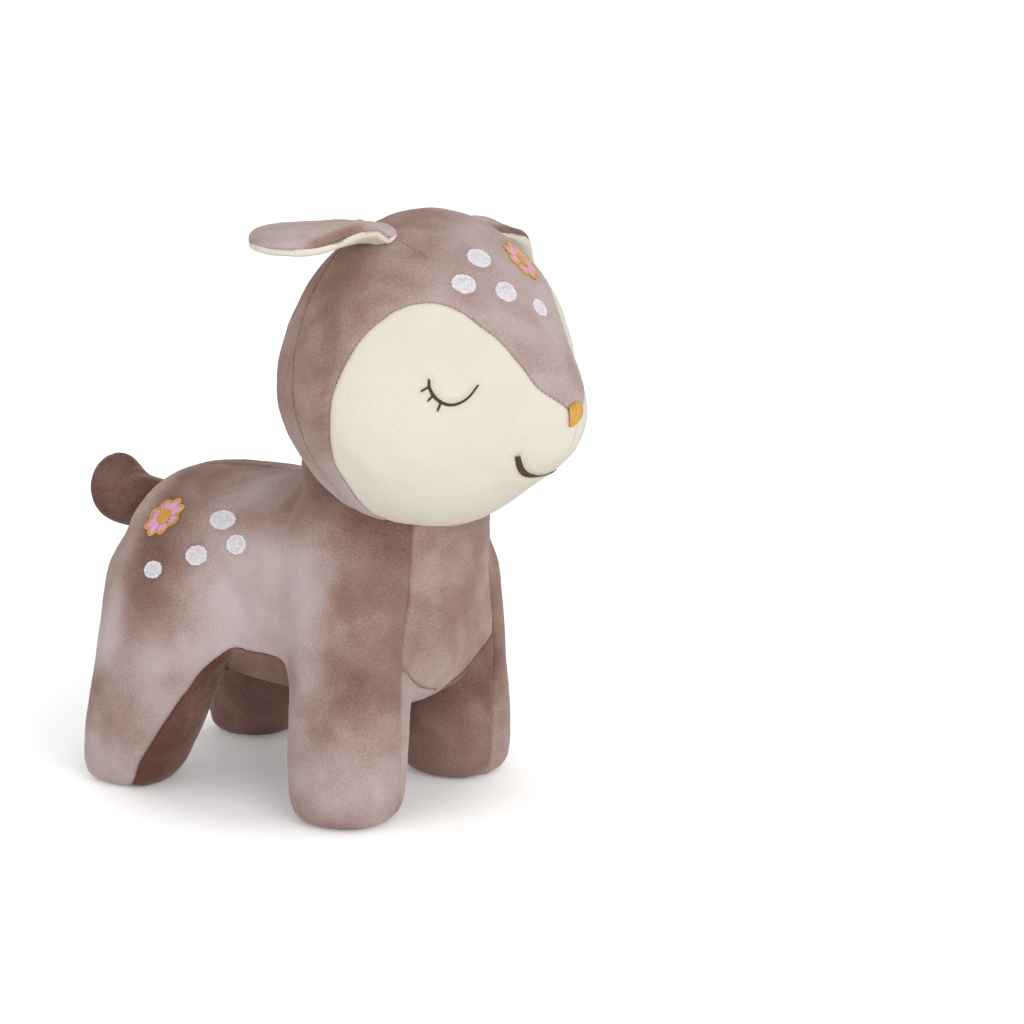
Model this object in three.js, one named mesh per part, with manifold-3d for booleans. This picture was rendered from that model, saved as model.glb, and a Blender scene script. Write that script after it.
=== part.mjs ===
// A sewn plush deer, standing, about 28 cm tall. Units are millimetres, +Z is up, the deer faces -Y and
// its left side is +X. Its covers are cut panels of short-pile velour with seam lines between them, over
// stuffing. Forms are given by their outside, and every form can be drawn smaller by an inset, which gives
// the inner face of the cloth and the stuffing behind it.
import * as THREE from 'three';
import { mergeVertices } from 'three/addons/utils/BufferGeometryUtils.js';
import Module from 'manifold-3d';

const wasm = await Module();
wasm.setup();

// Cloth, gaps and cutting
const fabricThickness = 2;
const seamGap = 0.3;
const seatClearance = 0.3;
const cutOverrun = 40;
const soleCut = 0.5;
const soleHem = 4;
const crumbVolume = 1;
const weldDistance = 0.0001;

// Head: an egg with a muzzle, in shares where a value is a direction or a form factor
const headCentre = { x: 0, y: -55, z: 201.5 };
const headHalfWidth = 80.5;
const headHalfBack = 59;
const headHalfFront = 62.5;
const headHalfHeight = 74;
const headSquareShare = 1.92;
const headPearShare = 0.073;
const muzzleLength = 21;
const muzzleShares = { side: 0.417, above: 0.551, below: 0.448, level: -0.268, forward: 1.5 };

// Torso: a barrel from rump to shoulders and an upright chest that carries the neck
const barrelHalfWidth = 50.3;
const barrelHalfHeight = 41.2;
const bellyDepth = 58;
const barrelLevel = 106.6;
const rumpEnd = 99.5;
const barrelLength = 168;
const chestPlace = -40;
const chestHalfWidth = 49.4;
const chestHalfDepth = 35.2;
const chestBottom = 47.5;
const neckTop = 175;
const bodySquareShare = 2.2;
const bellySquareShare = 3;
const leastSectionShare = 1 / 3;

// Legs: middle of the foot, half sizes of foot and thigh, and the lean from foot to hip
const legHeight = 125;
const legSquareShare = 2.3;
const frontFoot = { x: 44.9, y: -40.6 };
const frontHalfWidth = 25.3;
const frontHalfDepth = 26.2;
const frontLeanIn = 18;
const frontLeanBack = 2;
const hindFoot = { x: 48, y: 82.7 };
const hindHalfWidth = 24.7;
const hindHalfDepth = 25.8;
const thighHalfDepth = 37;
const hindLeanIn = 20;
const hindLeanForward = 21;
const hindStraightFromShare = 0.6;

// Seams of the body covers
const chestSeamHalf = 37;
const bellySeamHalf = 46;
const hindSeamHalf = 50;
const shoulderSeamPlace = -47;
const bellySeamLevel = 92;
const gussetPlace = -7;
const rumpArchPlace = 24;
const rumpArchLevel = 98;
const rumpArchCornerLevel = 87.7;
const rumpArchSpringLevel = 49;

// Ears: two padded layers each, hinged on a bead at the root seam. The left one hangs lower and twists
// open.
const earRootDirection = [98, 62.7];
const earLength = 64;
const earHalfWidth = 23.5;
const earRootHalfWidth = 12.5;
const earPadThickness = 5;
const earRootRadius = 3.4;
const earRootSink = 1;
const earShares = {
  fullWidthFrom: 0.55, tipFrom: 0.5, tipPower: 2.2, tipEnd: 0.004,
  rootPad: 0.8, padPower: 0.7, twistTo: 0.8,
};
const earRight = { swing: 20, lift: 2.5, curl: 1, twist: 9 };
const earLeft = { swing: 2, lift: -14, curl: 17, twist: -30 };

// Tail: a bulb that narrows to a ball at its root, where it sits in a dimple of the rump
const tailRoot = { y: 105.5, z: 129 };
const tailRootRadius = 11.5;
const tailBulbRadius = 17;
const tailReach = 32;
const tailDroop = 2.5;
const tailMouthRadius = 5;
const tailSquareShare = 2;

// Embroidery stands proud of the pile
const stitchHeight = 0.9;
const stitchDepth = 25;
const threadWidth = 1.8;
const noseHalfWidth = 5.4;
const noseHeight = 12;
const noseLevel = -10.2;
const noseShares = { shoulder: 0.55, jawWidth: 0.9, jawLevel: -0.7 };
const eyePlace = { x: 48.5, z: 7.5 };
const eyeHalfSpan = 10.5;
const eyeSag = 9;
const lashLength = 4.6;
const lashAngles = [188, 214, 240];
const mouthHalfSpan = 26;
const mouthSag = 13;
const mouthLevel = -27.5;
const flowerRadius = 11.6;
const flowerOutlineWidth = 1.5;
const flowerCentreRadius = 3.9;
const flowerPetals = 7;
const flowerWaveShare = 0.2;
const flowerPetalSteps = 4;
const spotHalfWidth = 6.3;
const spotHalfHeight = 5.2;
const headSpotShares = [
  { direction: [-18.6, 55], wide: 1, high: 1 },
  { direction: [-35.8, 43.8], wide: 0.95, high: 0.92 },
  { direction: [-12, 39.5], wide: 0.95, high: 0.96 },
  { direction: [6.5, 30.3], wide: 0.83, high: 0.85 },
];
const headFlowerDirection = [24.6, 49.7];
const flankSpotShares = [
  { along: 0.416, rise: 0.585, wide: 1.14, high: 0.96 },
  { along: 0.486, rise: 0.367, wide: 0.92, high: 0.92 },
  { along: 0.357, rise: 0.177, wide: 0.94, high: 0.94 },
  { along: 0.207, rise: -0.058, wide: 0.83, high: 0.85 },
];
const flankFlowerShares = { along: 0.215, rise: 0.507 };

// Facets
const headColumns = 24;
const headRows = 15;
const bodySides = 16;
const barrelRings = 10;
const chestRings = 8;
const legSides = 12;
const legRings = 8;
const earRings = 8;
const earSides = 12;
const tailRings = 6;
const tailSides = 12;
const ballSides = 16;
const curveSteps = 6;
const searchSteps = 40;

const taupeVelour = { color: 0x9d8681, roughness: 0.95, metalness: 0 };
const creamVelour = { color: 0xf2ecdc, roughness: 0.95, metalness: 0 };
const fibreFill = { color: 0xfafafa, roughness: 1, metalness: 0 };
const goldThread = { color: 0xd9a441, roughness: 0.5, metalness: 0 };
const pinkThread = { color: 0xe3a7be, roughness: 0.6, metalness: 0 };
const whiteThread = { color: 0xe4e0ea, roughness: 0.6, metalness: 0 };
const brownThread = { color: 0x4a2622, roughness: 0.7, metalness: 0 };

// A closed geometry becomes a solid that can be joined and cut
function solid(geometry) {
  const bare = geometry.clone();
  bare.deleteAttribute('normal');
  bare.deleteAttribute('uv');
  const merged = mergeVertices(bare, weldDistance);
  return new wasm.Manifold(new wasm.Mesh({
    numProp: 3,
    vertProperties: new Float32Array(merged.attributes.position.array),
    triVerts: new Uint32Array(merged.index.array),
  }));
}

// The largest part of a cut solid, without the crumbs that a slanting cut leaves behind
function mainPart(shape) {
  const pieces = shape.decompose().filter((piece) => piece.volume() > crumbVolume);
  return pieces.reduce((best, piece) => (piece.volume() > best.volume() ? piece : best), pieces[0]);
}

function geometryOf(shape) {
  const mesh = shape.getMesh();
  const geometry = new THREE.BufferGeometry();
  geometry.setAttribute('position', new THREE.BufferAttribute(mesh.vertProperties, 3));
  geometry.setIndex(new THREE.BufferAttribute(mesh.triVerts, 1));
  geometry.computeVertexNormals();
  return geometry;
}

function union(shapes) {
  return shapes.reduce((sum, shape) => sum.add(shape));
}

// Closes a stack of rings, each a loop of points, with a point in the middle of both ends
function stackRings(rings, flip) {
  const count = rings[0].length;
  const points = rings.flat();
  const middle = (ring) => ring.reduce((sum, p) => sum.add(p), new THREE.Vector3()).divideScalar(count);
  points.push(middle(rings[0]), middle(rings[rings.length - 1]));
  const first = points.length - 2;
  const last = points.length - 1;
  const faces = [];
  const face = (a, b, c) => faces.push(...(flip ? [a, c, b] : [a, b, c]));
  for (let j = 0; j < count; j++) {
    const next = (j + 1) % count;
    face(first, next, j);
    face(last, (rings.length - 1) * count + j, (rings.length - 1) * count + next);
    for (let i = 0; i < rings.length - 1; i++) {
      const low = i * count;
      const high = low + count;
      face(low + j, low + next, high + next);
      face(low + j, high + next, high + j);
    }
  }
  const geometry = new THREE.BufferGeometry().setFromPoints(points);
  geometry.setIndex(faces);
  return geometry;
}

// A loft through stations {at, side, across, halfSide, halfAcross, halfBelow}: at runs along Z for an upright
// loft and along Y for a lying one. The sections are rounded squares, which may be deeper and squarer below
// their middle, and the inset draws the whole form in.
function loft(stations, { upright, inset, rings, sides, squareShare, belowSquareShare = squareShare }) {
  const ats = stations.map((s) => s.at);
  const middle = (Math.min(...ats) + Math.max(...ats)) / 2;
  const half = (Math.max(...ats) - Math.min(...ats)) / 2;
  const shrink = (half - inset) / half;
  const drawnIn = (at) => middle + (at - middle) * shrink;
  const centres = stations.map((s) => new THREE.Vector3(s.side, s.across, drawnIn(s.at)));
  const sizes = stations.map((s) => new THREE.Vector3(s.halfSide, s.halfAcross, s.halfBelow ?? s.halfAcross));
  const centreCurve = new THREE.CatmullRomCurve3(centres);
  const sizeCurve = new THREE.CatmullRomCurve3(sizes);
  const loops = [];
  for (let i = 0; i < rings; i++) {
    const centre = centreCurve.getPoint(i / (rings - 1));
    const size = sizeCurve.getPoint(i / (rings - 1));
    const shrunk = (value) => Math.max(value - inset, value * leastSectionShare);
    const loop = [];
    for (let j = 0; j < sides; j++) {
      const angle = (j / sides) * 2 * Math.PI;
      const c = Math.cos(angle);
      const s = Math.sin(angle);
      const power = s < 0 ? belowSquareShare : squareShare;
      const reach = (Math.abs(c) ** power + Math.abs(s) ** power) ** (-1 / power);
      const side = centre.x + reach * c * shrunk(size.x);
      const across = centre.y + reach * s * shrunk(s < 0 ? size.z : size.y);
      const point = upright ? [side, across, centre.z] : [side, centre.z, across];
      loop.push(new THREE.Vector3(...point));
    }
    loops.push(loop);
  }
  return solid(stackRings(loops, !upright));
}

// How far the head reaches from its centre in a direction
function headReach(direction) {
  const { x, y, z } = direction;
  const width = headHalfWidth * (1 - headPearShare * z);
  const depth = y > 0 ? headHalfBack : headHalfFront;
  const p = headSquareShare;
  const sum = Math.abs(x / width) ** p + Math.abs(y / depth) ** p + Math.abs(z / headHalfHeight) ** p;
  const rise = z - muzzleShares.level;
  const spread = rise > 0 ? muzzleShares.above : muzzleShares.below;
  const bump = Math.exp(-((x / muzzleShares.side) ** 2) - (rise / spread) ** 2);
  return sum ** (-1 / p) + muzzleLength * bump * Math.max(0, -y) ** muzzleShares.forward;
}

function headForm(inset) {
  const geometry = new THREE.SphereGeometry(1, headColumns, headRows);
  const position = geometry.attributes.position;
  for (let i = 0; i < position.count; i++) {
    const direction = new THREE.Vector3().fromBufferAttribute(position, i).normalize();
    direction.multiplyScalar(headReach(direction) - inset);
    position.setXYZ(i, direction.x, direction.y, direction.z);
  }
  geometry.translate(headCentre.x, headCentre.y, headCentre.z);
  return solid(geometry);
}

// A point of the head's outside at a given side and height, on the front half
function headFront(x, z) {
  let low = 0;
  let high = headHalfFront + muzzleLength;
  for (let i = 0; i < searchSteps; i++) {
    const y = (low + high) / 2;
    const place = new THREE.Vector3(x, -y, z);
    if (place.length() < headReach(place.clone().normalize())) low = y;
    else high = y;
  }
  return new THREE.Vector3(headCentre.x + x, headCentre.y - low, headCentre.z + z);
}

// Barrel stations in shares: place from the rump end, half width, half height, depth of the belly
const barrelShares = [
  [0, 0.06, 0.1, 0.07], [0.012, 0.4, 0.36, 0.26], [0.054, 0.72, 0.7, 0.5], [0.143, 0.93, 0.93, 0.72],
  [0.32, 1, 1, 0.94], [0.52, 1, 1, 1], [0.73, 1, 1, 1], [0.88, 0.9, 0.95, 0.93], [0.975, 0.6, 0.7, 0.7],
  [1, 0.1, 0.1, 0.1],
];

function barrelForm(inset) {
  const stations = barrelShares.map(([place, width, height, depth]) => ({
    at: rumpEnd - place * barrelLength,
    side: 0,
    across: barrelLevel,
    halfSide: width * barrelHalfWidth,
    halfAcross: height * barrelHalfHeight,
    halfBelow: depth * bellyDepth,
  })).reverse();
  const squares = { squareShare: bodySquareShare, belowSquareShare: bellySquareShare };
  const sections = { rings: barrelRings, sides: bodySides, ...squares };
  return loft(stations, { upright: false, inset, ...sections });
}

// Chest stations in shares: height between chest bottom and neck top, half width, half depth
const chestShares = [
  [0, 0.08, 0.1], [0.02, 0.5, 0.45], [0.1, 0.8, 0.75], [0.255, 0.95, 0.93], [0.49, 1, 1],
  [0.725, 0.975, 1.08], [0.88, 0.95, 1.15], [1, 0.9, 1.04],
];

function chestForm(inset) {
  const stations = chestShares.map(([height, width, depth]) => ({
    at: chestBottom + height * (neckTop - chestBottom),
    side: 0,
    across: chestPlace,
    halfSide: width * chestHalfWidth,
    halfAcross: depth * chestHalfDepth,
  }));
  const sections = { rings: chestRings, sides: bodySides, squareShare: bodySquareShare };
  return loft(stations, { upright: true, inset, ...sections });
}

function torsoForm(inset) {
  return barrelForm(inset).add(chestForm(inset));
}

// Leg stations in shares: height, lean from foot to hip, half width, half depth
const frontLegShares = [
  [0, 0, 0.5, 0.5], [0.012, 0, 0.7, 0.7], [0.064, 0, 0.92, 0.92], [0.224, 0.055, 1, 1],
  [0.44, 0.22, 1, 1.02], [0.64, 0.44, 1.02, 1.05], [0.84, 0.72, 1, 1], [1, 1, 0.6, 0.7],
];

// The hind leg swells from foot to thigh: the last share is how far its depth has grown to the thigh's
const hindLegShares = [
  [0, 0, 0.5, 0.5, 0], [0.012, 0, 0.7, 0.7, 0], [0.064, 0, 0.9, 0.9, 0], [0.224, 0.05, 1, 1, 0.2],
  [0.44, 0.2, 1.02, 1, 0.6], [0.64, 0.4, 1.03, 1, 1], [0.84, 0.7, 0.95, 0.95, 1], [0.96, 1, 0.6, 0.6, 1],
];

const legSections = { rings: legRings, sides: legSides, squareShare: legSquareShare };
const legHeightFromCut = (share) => share * (legHeight + soleCut) - soleCut;

function frontLegForm(side, inset) {
  const stations = frontLegShares.map(([height, lean, width, depth]) => ({
    at: legHeightFromCut(height),
    side: side * (frontFoot.x - lean * frontLeanIn),
    across: frontFoot.y + lean * frontLeanBack,
    halfSide: width * frontHalfWidth,
    halfAcross: depth * frontHalfDepth,
  }));
  return loft(stations, { upright: true, inset, ...legSections });
}

function hindLegForm(side, inset) {
  const stations = hindLegShares.map(([height, lean, width, depth, thigh]) => ({
    at: legHeightFromCut(height),
    side: side * (hindFoot.x - lean * hindLeanIn),
    across: hindFoot.y - Math.min(1, height / hindStraightFromShare) * hindLeanForward,
    halfSide: width * hindHalfWidth,
    halfAcross: depth * THREE.MathUtils.lerp(hindHalfDepth, thighHalfDepth, thigh),
  }));
  return loft(stations, { upright: true, inset, ...legSections });
}

const legs = [
  { name: 'front_right', side: -1, form: frontLegForm, front: true },
  { name: 'front_left', side: 1, form: frontLegForm, front: true },
  { name: 'hind_right', side: -1, form: hindLegForm, front: false },
  { name: 'hind_left', side: 1, form: hindLegForm, front: false },
];

// A box between two corners
function block(low, high) {
  const size = new THREE.Vector3().subVectors(high, low);
  const geometry = new THREE.BoxGeometry(size.x, size.y, size.z);
  const middle = new THREE.Vector3().addVectors(low, high).divideScalar(2);
  return solid(geometry.translate(middle.x, middle.y, middle.z));
}

const farSide = headHalfWidth + cutOverrun;
const farFront = headCentre.y - headHalfFront - muzzleLength - cutOverrun;
const farBack = rumpEnd + cutOverrun;
const farTop = headCentre.z + headHalfHeight + cutOverrun;

function floorBlock(top) {
  const low = new THREE.Vector3(-farSide, farFront, -cutOverrun);
  return block(low, new THREE.Vector3(farSide, farBack, top));
}

function sideBlock(side, from) {
  const near = side * from;
  const far = side * farSide;
  return block(
    new THREE.Vector3(Math.min(near, far), farFront, -cutOverrun),
    new THREE.Vector3(Math.max(near, far), farBack, farTop),
  );
}

function extrusion(shape, depth) {
  return new THREE.ExtrudeGeometry(shape, { depth, bevelEnabled: false, curveSegments: curveSteps });
}

// A prism across the deer, from an outline drawn in its side view with (y, z) points
function sideViewPrism(shape, from, to) {
  const geometry = extrusion(shape, to - from);
  geometry.applyMatrix4(new THREE.Matrix4().makeBasis(
    new THREE.Vector3(0, 1, 0), new THREE.Vector3(0, 0, 1), new THREE.Vector3(1, 0, 0)));
  return solid(geometry.translate(from, 0, 0));
}

// A prism along the deer, from an outline drawn in its back view with (x, z) points
function backViewPrism(shape, from, to) {
  const geometry = extrusion(shape, to - from);
  geometry.applyMatrix4(new THREE.Matrix4().makeBasis(
    new THREE.Vector3(-1, 0, 0), new THREE.Vector3(0, 0, 1), new THREE.Vector3(0, 1, 0)));
  return solid(geometry.translate(0, from, 0));
}

// The middle strip of the body cover: the chest in front, the belly and inner legs below, and an arch that
// closes under the tail
function middleStrip(grow) {
  const chestHalf = chestSeamHalf + grow;
  const bellyHalf = bellySeamHalf + grow;
  const hindHalf = hindSeamHalf + grow;
  const front = block(
    new THREE.Vector3(-chestHalf, farFront, -cutOverrun),
    new THREE.Vector3(chestHalf, shoulderSeamPlace + grow, farTop),
  );
  const under = block(
    new THREE.Vector3(-bellyHalf, shoulderSeamPlace, -cutOverrun),
    new THREE.Vector3(bellyHalf, rumpArchPlace, bellySeamLevel + grow),
  );
  const arch = new THREE.Shape();
  arch.moveTo(-hindHalf, -cutOverrun);
  arch.lineTo(-hindHalf, rumpArchSpringLevel);
  arch.quadraticCurveTo(-hindHalf, rumpArchCornerLevel, 0, rumpArchLevel + grow);
  arch.quadraticCurveTo(hindHalf, rumpArchCornerLevel, hindHalf, rumpArchSpringLevel);
  arch.lineTo(hindHalf, -cutOverrun);
  const rear = backViewPrism(arch, rumpArchPlace - seamGap, farBack);
  return union([front, under, rear]);
}

// Head seams. The cheek's edge is a loop of directions from the head's centre, [azimuth, elevation] in
// degrees: from the nose over the eye, down behind it and under the chin to the seam in the middle.
const cheekDirections = [
  [-5, -5.5], [-9.4, -2.9], [-15.4, 2.7], [-18.9, 10.8], [-23.6, 18.6], [-31.6, 25.4], [-38.4, 30.9],
  [-46.6, 34.3], [-54.9, 35], [-65.8, 32.3], [-72.3, 27], [-78.8, 18.9], [-83.2, 10.1], [-85.8, 1.6],
  [-86.9, -6.9], [-87.7, -14.8], [-87.5, -22.8], [-85.6, -29.7], [-83.2, -38], [-80.3, -43.4], [-74, -50],
  [-60, -60], [-30, -67], [0, -68], [0, -52], [0, -38], [0, -25], [0, -14],
];
const cheekMiddle = [-48, -6];
const coneShares = { root: 1 / 3, peak: 1.3 };

function directionFrom([azimuth, elevation]) {
  const a = THREE.MathUtils.degToRad(azimuth);
  const e = THREE.MathUtils.degToRad(elevation);
  return new THREE.Vector3(Math.sin(a) * Math.cos(e), -Math.cos(a) * Math.cos(e), Math.sin(e));
}

// The cone from the head's centre through the cheek's edge, its edge moved outward by a gap at the cloth
function cheekCone(side, gap) {
  const loop = cheekDirections.map(directionFrom);
  const moved = loop.map((direction, i) => {
    const before = loop[(i + loop.length - 1) % loop.length];
    const after = loop[(i + 1) % loop.length];
    const along = new THREE.Vector3().subVectors(after, before);
    const outward = new THREE.Vector3().crossVectors(along, direction).normalize();
    return direction.clone().addScaledVector(outward, gap / headHalfHeight).normalize();
  });
  const far = headHalfWidth + muzzleLength + cutOverrun;
  const place = (direction, distance) => new THREE.Vector3(
    headCentre.x - side * direction.x * distance, headCentre.y + direction.y * distance,
    headCentre.z + direction.z * distance);
  const middle = directionFrom(cheekMiddle);
  const near = headHalfHeight * coneShares.root;
  const inner = moved.map((direction) => place(direction, near));
  const outer = moved.map((direction) => place(direction, far));
  const count = moved.length;
  const points = [...inner, ...outer, place(middle, near), place(middle, far * coneShares.peak)];
  const faces = [];
  const face = (a, b, c) => faces.push(...(side < 0 ? [a, b, c] : [a, c, b]));
  for (let i = 0; i < count; i++) {
    const next = (i + 1) % count;
    face(i, next, count + next);
    face(i, count + next, count + i);
    face(2 * count, next, i);
    face(2 * count + 1, count + i, count + next);
  }
  const geometry = new THREE.BufferGeometry().setFromPoints(points);
  geometry.setIndex(faces);
  return solid(geometry);
}

// The seam behind the ears, drawn in the side view as offsets from the head's centre
const backSeamShares = [
  [0.3, 1.3], [0.3, 1], [0.37, 0.76], [0.4, 0.6], [0.39, 0.4], [0.365, 0.2], [0.345, 0.05], [0.3, -0.1],
  [0.22, -0.22], [0.1, -0.4], [0, -0.6], [-0.05, -0.9], [-0.05, -1.3],
];

function headBackPrism(grow) {
  const seam = new THREE.SplineCurve(backSeamShares.map(([back, up]) => new THREE.Vector2(
    headCentre.y + back * headHalfBack - grow, headCentre.z + up * headHalfHeight)));
  const points = seam.getPoints(backSeamShares.length * 2);
  const bottom = points[points.length - 1];
  const top = points[0];
  points.push(new THREE.Vector2(farBack, bottom.y), new THREE.Vector2(farBack, top.y));
  const shape = new THREE.Shape(points);
  return sideViewPrism(shape, -farSide, farSide);
}

// Ears. A pad is drawn away from its hinge along X, with its front edge at -Y: it widens from the root to a
// leaf, bends down by its curl and turns about its length by its twist.
function earPad(side, top, { curl, twist }) {
  const rings = [];
  for (let i = 0; i < earRings; i++) {
    const share = Math.sin((i / (earRings - 1)) * Math.PI / 2);
    const along = share * earLength;
    const swell = THREE.MathUtils.smoothstep(share, 0, earShares.fullWidthFrom);
    const towardsTip = Math.max(0, (share - earShares.tipFrom) / (1 - earShares.tipFrom));
    const tip = Math.sqrt(Math.max(earShares.tipEnd, 1 - towardsTip ** earShares.tipPower));
    const half = THREE.MathUtils.lerp(earRootHalfWidth, earHalfWidth, swell) * tip;
    const rootThickness = earRootRadius * earShares.rootPad;
    const thick = THREE.MathUtils.lerp(rootThickness, earPadThickness, swell) * Math.sqrt(tip);
    const turn = THREE.MathUtils.degToRad(twist) * THREE.MathUtils.smoothstep(share, 0, earShares.twistTo);
    const loop = [];
    for (let j = 0; j < earSides; j++) {
      const angle = (j / earSides) * 2 * Math.PI;
      const across = half * Math.cos(angle);
      const rise = Math.max(0, Math.sin(angle)) ** earShares.padPower * thick + seamGap / 2;
      const height = top ? rise : -rise;
      loop.push(new THREE.Vector3(
        side * along,
        across * Math.cos(turn) - height * Math.sin(turn),
        across * Math.sin(turn) + height * Math.cos(turn) - curl * share * share,
      ));
    }
    rings.push(loop);
  }
  return solid(stackRings(rings, top === (side < 0)));
}

function bead(radius, overrun) {
  return solid(new THREE.CylinderGeometry(radius, radius, 2 * (earRootHalfWidth + overrun), earSides));
}

// Stands the ear's group on the head, so that the bead sinks a little into the cloth
function earGroup(side, pose) {
  const root = directionFrom(earRootDirection);
  const distance = headReach(root) + earRootRadius - earRootSink;
  const group = new THREE.Group();
  const offset = new THREE.Vector3(side * root.x, root.y, root.z).multiplyScalar(distance);
  group.position.copy(headCentre).add(offset);
  const swing = side * THREE.MathUtils.degToRad(pose.swing);
  const lift = -side * THREE.MathUtils.degToRad(pose.lift);
  group.rotation.set(0, lift, swing, 'ZYX');
  group.updateMatrixWorld(true);
  return group;
}

// A solid of a group's own frame, taken to the deer's frame
function placed(shape, group) {
  const geometry = geometryOf(shape);
  geometry.applyMatrix4(group.matrixWorld);
  return solid(geometry);
}

// Tail: the ball at the root and a bulb behind it
const tailShares = [[0, 0.64], [0.2, 0.8], [0.42, 0.98], [0.6, 0.99], [0.8, 0.82], [0.94, 0.48], [1, 0.1]];

function tailForm(inset) {
  const stations = tailShares.map(([along, size]) => ({
    at: tailRoot.y + along * tailReach,
    side: 0,
    across: tailRoot.z - along * tailDroop,
    halfSide: size * tailBulbRadius,
    halfAcross: size * tailBulbRadius,
  }));
  const sections = { rings: tailRings, sides: tailSides, squareShare: tailSquareShare };
  const bulb = loft(stations, { upright: false, inset, ...sections });
  return bulb.add(ball(tailRootRadius - inset));
}

function ball(radius) {
  const geometry = new THREE.SphereGeometry(radius, ballSides, ballSides / 2);
  return solid(geometry.translate(0, tailRoot.y, tailRoot.z));
}

// The dimple's flat facets stay outside the ball at every angle
function dimple() {
  return ball((tailRootRadius + seatClearance) / Math.cos(Math.PI / ballSides) ** 2);
}

// Embroidery: an outline drawn on a plane that faces outward, cut from a thin layer over the cloth
function embroider(outlines, place, outward, layer) {
  const up = new THREE.Vector3(0, 0, 1);
  const frame = new THREE.Matrix4().lookAt(outward, new THREE.Vector3(), up).setPosition(place);
  const prisms = outlines.map((outline) => {
    const geometry = extrusion(outline, 2 * stitchDepth).translate(0, 0, -stitchDepth);
    return solid(geometry.applyMatrix4(frame));
  });
  return mainPart(union(prisms).intersect(layer));
}

function layerOver(form) {
  return form(-seatClearance - stitchHeight).subtract(form(-seatClearance));
}

function oval(halfWidth, halfHeight) {
  const shape = new THREE.Shape();
  shape.absellipse(0, 0, halfWidth, halfHeight, 0, 2 * Math.PI);
  return shape;
}

// A shallow bowl-shaped line of stitches through two ends and its lowest point
function arcBand(halfSpan, sag) {
  const radius = (halfSpan ** 2 + sag ** 2) / (2 * sag);
  const half = Math.atan2(halfSpan, radius - sag);
  const shape = new THREE.Shape();
  const low = -Math.PI / 2 - half;
  const high = -Math.PI / 2 + half;
  shape.absarc(0, radius - sag, radius + threadWidth / 2, low, high, false);
  shape.absarc(0, radius - sag, radius - threadWidth / 2, high, low, true);
  return { shape, radius, rise: radius - sag };
}

// One lash, from the line of the eye outward at an angle
function lash(radius, rise, degrees) {
  const a = THREE.MathUtils.degToRad(degrees);
  const out = new THREE.Vector2(Math.cos(a), Math.sin(a));
  const wide = new THREE.Vector2(-out.y, out.x).multiplyScalar(threadWidth / 2);
  const start = out.clone().multiplyScalar(radius).add(new THREE.Vector2(0, rise));
  const end = start.clone().addScaledVector(out, lashLength);
  return new THREE.Shape([
    start.clone().sub(wide), end.clone().sub(wide), end.clone().add(wide), start.clone().add(wide)]);
}

function noseOutline() {
  const shape = new THREE.Shape();
  const top = noseHeight / 2;
  const shoulder = top * noseShares.shoulder;
  const jawHalfWidth = noseHalfWidth * noseShares.jawWidth;
  const jawLevel = top * noseShares.jawLevel;
  shape.moveTo(-noseHalfWidth, shoulder);
  shape.quadraticCurveTo(-noseHalfWidth, top, -noseHalfWidth / 2, top);
  shape.lineTo(noseHalfWidth / 2, top);
  shape.quadraticCurveTo(noseHalfWidth, top, noseHalfWidth, shoulder);
  shape.quadraticCurveTo(jawHalfWidth, jawLevel, 0, -top);
  shape.quadraticCurveTo(-jawHalfWidth, jawLevel, -noseHalfWidth, shoulder);
  return shape;
}

// A wavy round outline with one bow for each petal
function flowerLoop(radius) {
  const points = [];
  const count = flowerPetals * flowerPetalSteps;
  for (let i = 0; i < count; i++) {
    const angle = (i / count) * 2 * Math.PI;
    const bow = Math.abs(Math.sin((flowerPetals * angle) / 2));
    const reach = radius - flowerRadius * flowerWaveShare * (1 - bow);
    points.push(new THREE.Vector2(reach * Math.cos(angle), reach * Math.sin(angle)));
  }
  return points;
}

function flowerOutlines() {
  const outline = new THREE.Shape(flowerLoop(flowerRadius));
  outline.holes.push(new THREE.Path(flowerLoop(flowerRadius - flowerOutlineWidth)));
  const petals = new THREE.Shape(flowerLoop(flowerRadius - flowerOutlineWidth - seamGap));
  const eye = new THREE.Path();
  eye.absarc(0, 0, flowerCentreRadius + seamGap, 0, 2 * Math.PI, false);
  petals.holes.push(eye);
  const centre = new THREE.Shape();
  centre.absarc(0, 0, flowerCentreRadius, 0, 2 * Math.PI, false);
  return { outline, petals, centre };
}

// The deer
const deer = new THREE.Group();

function addPart(parent, name, shape, finish) {
  const mesh = new THREE.Mesh(geometryOf(shape), new THREE.MeshStandardMaterial(finish));
  mesh.name = name;
  parent.add(mesh);
}

const floor = floorBlock(0);
const legForms = (inset) => legs.map((leg) => leg.form(leg.side, inset));
const bodyOuter = union([torsoForm(0), ...legForms(0)]);
const bodyInner = union([torsoForm(fabricThickness), ...legForms(fabricThickness)]);
const headSeat = headForm(-seatClearance);
const tailSeat = dimple();
const bodyCloth = bodyOuter.subtract(bodyInner).subtract(headSeat).subtract(tailSeat).subtract(floor);

const bodyGroup = new THREE.Group();
const stuffingInset = fabricThickness + seamGap;
addPart(bodyGroup, 'torso_stuffing', mainPart(torsoForm(stuffingInset).subtract(headSeat)), fibreFill);
for (const leg of legs) {
  const shape = leg.form(leg.side, stuffingInset).subtract(torsoForm(fabricThickness)).subtract(headSeat);
  addPart(bodyGroup, `leg_stuffing_${leg.name}`, mainPart(shape), fibreFill);
}

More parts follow.
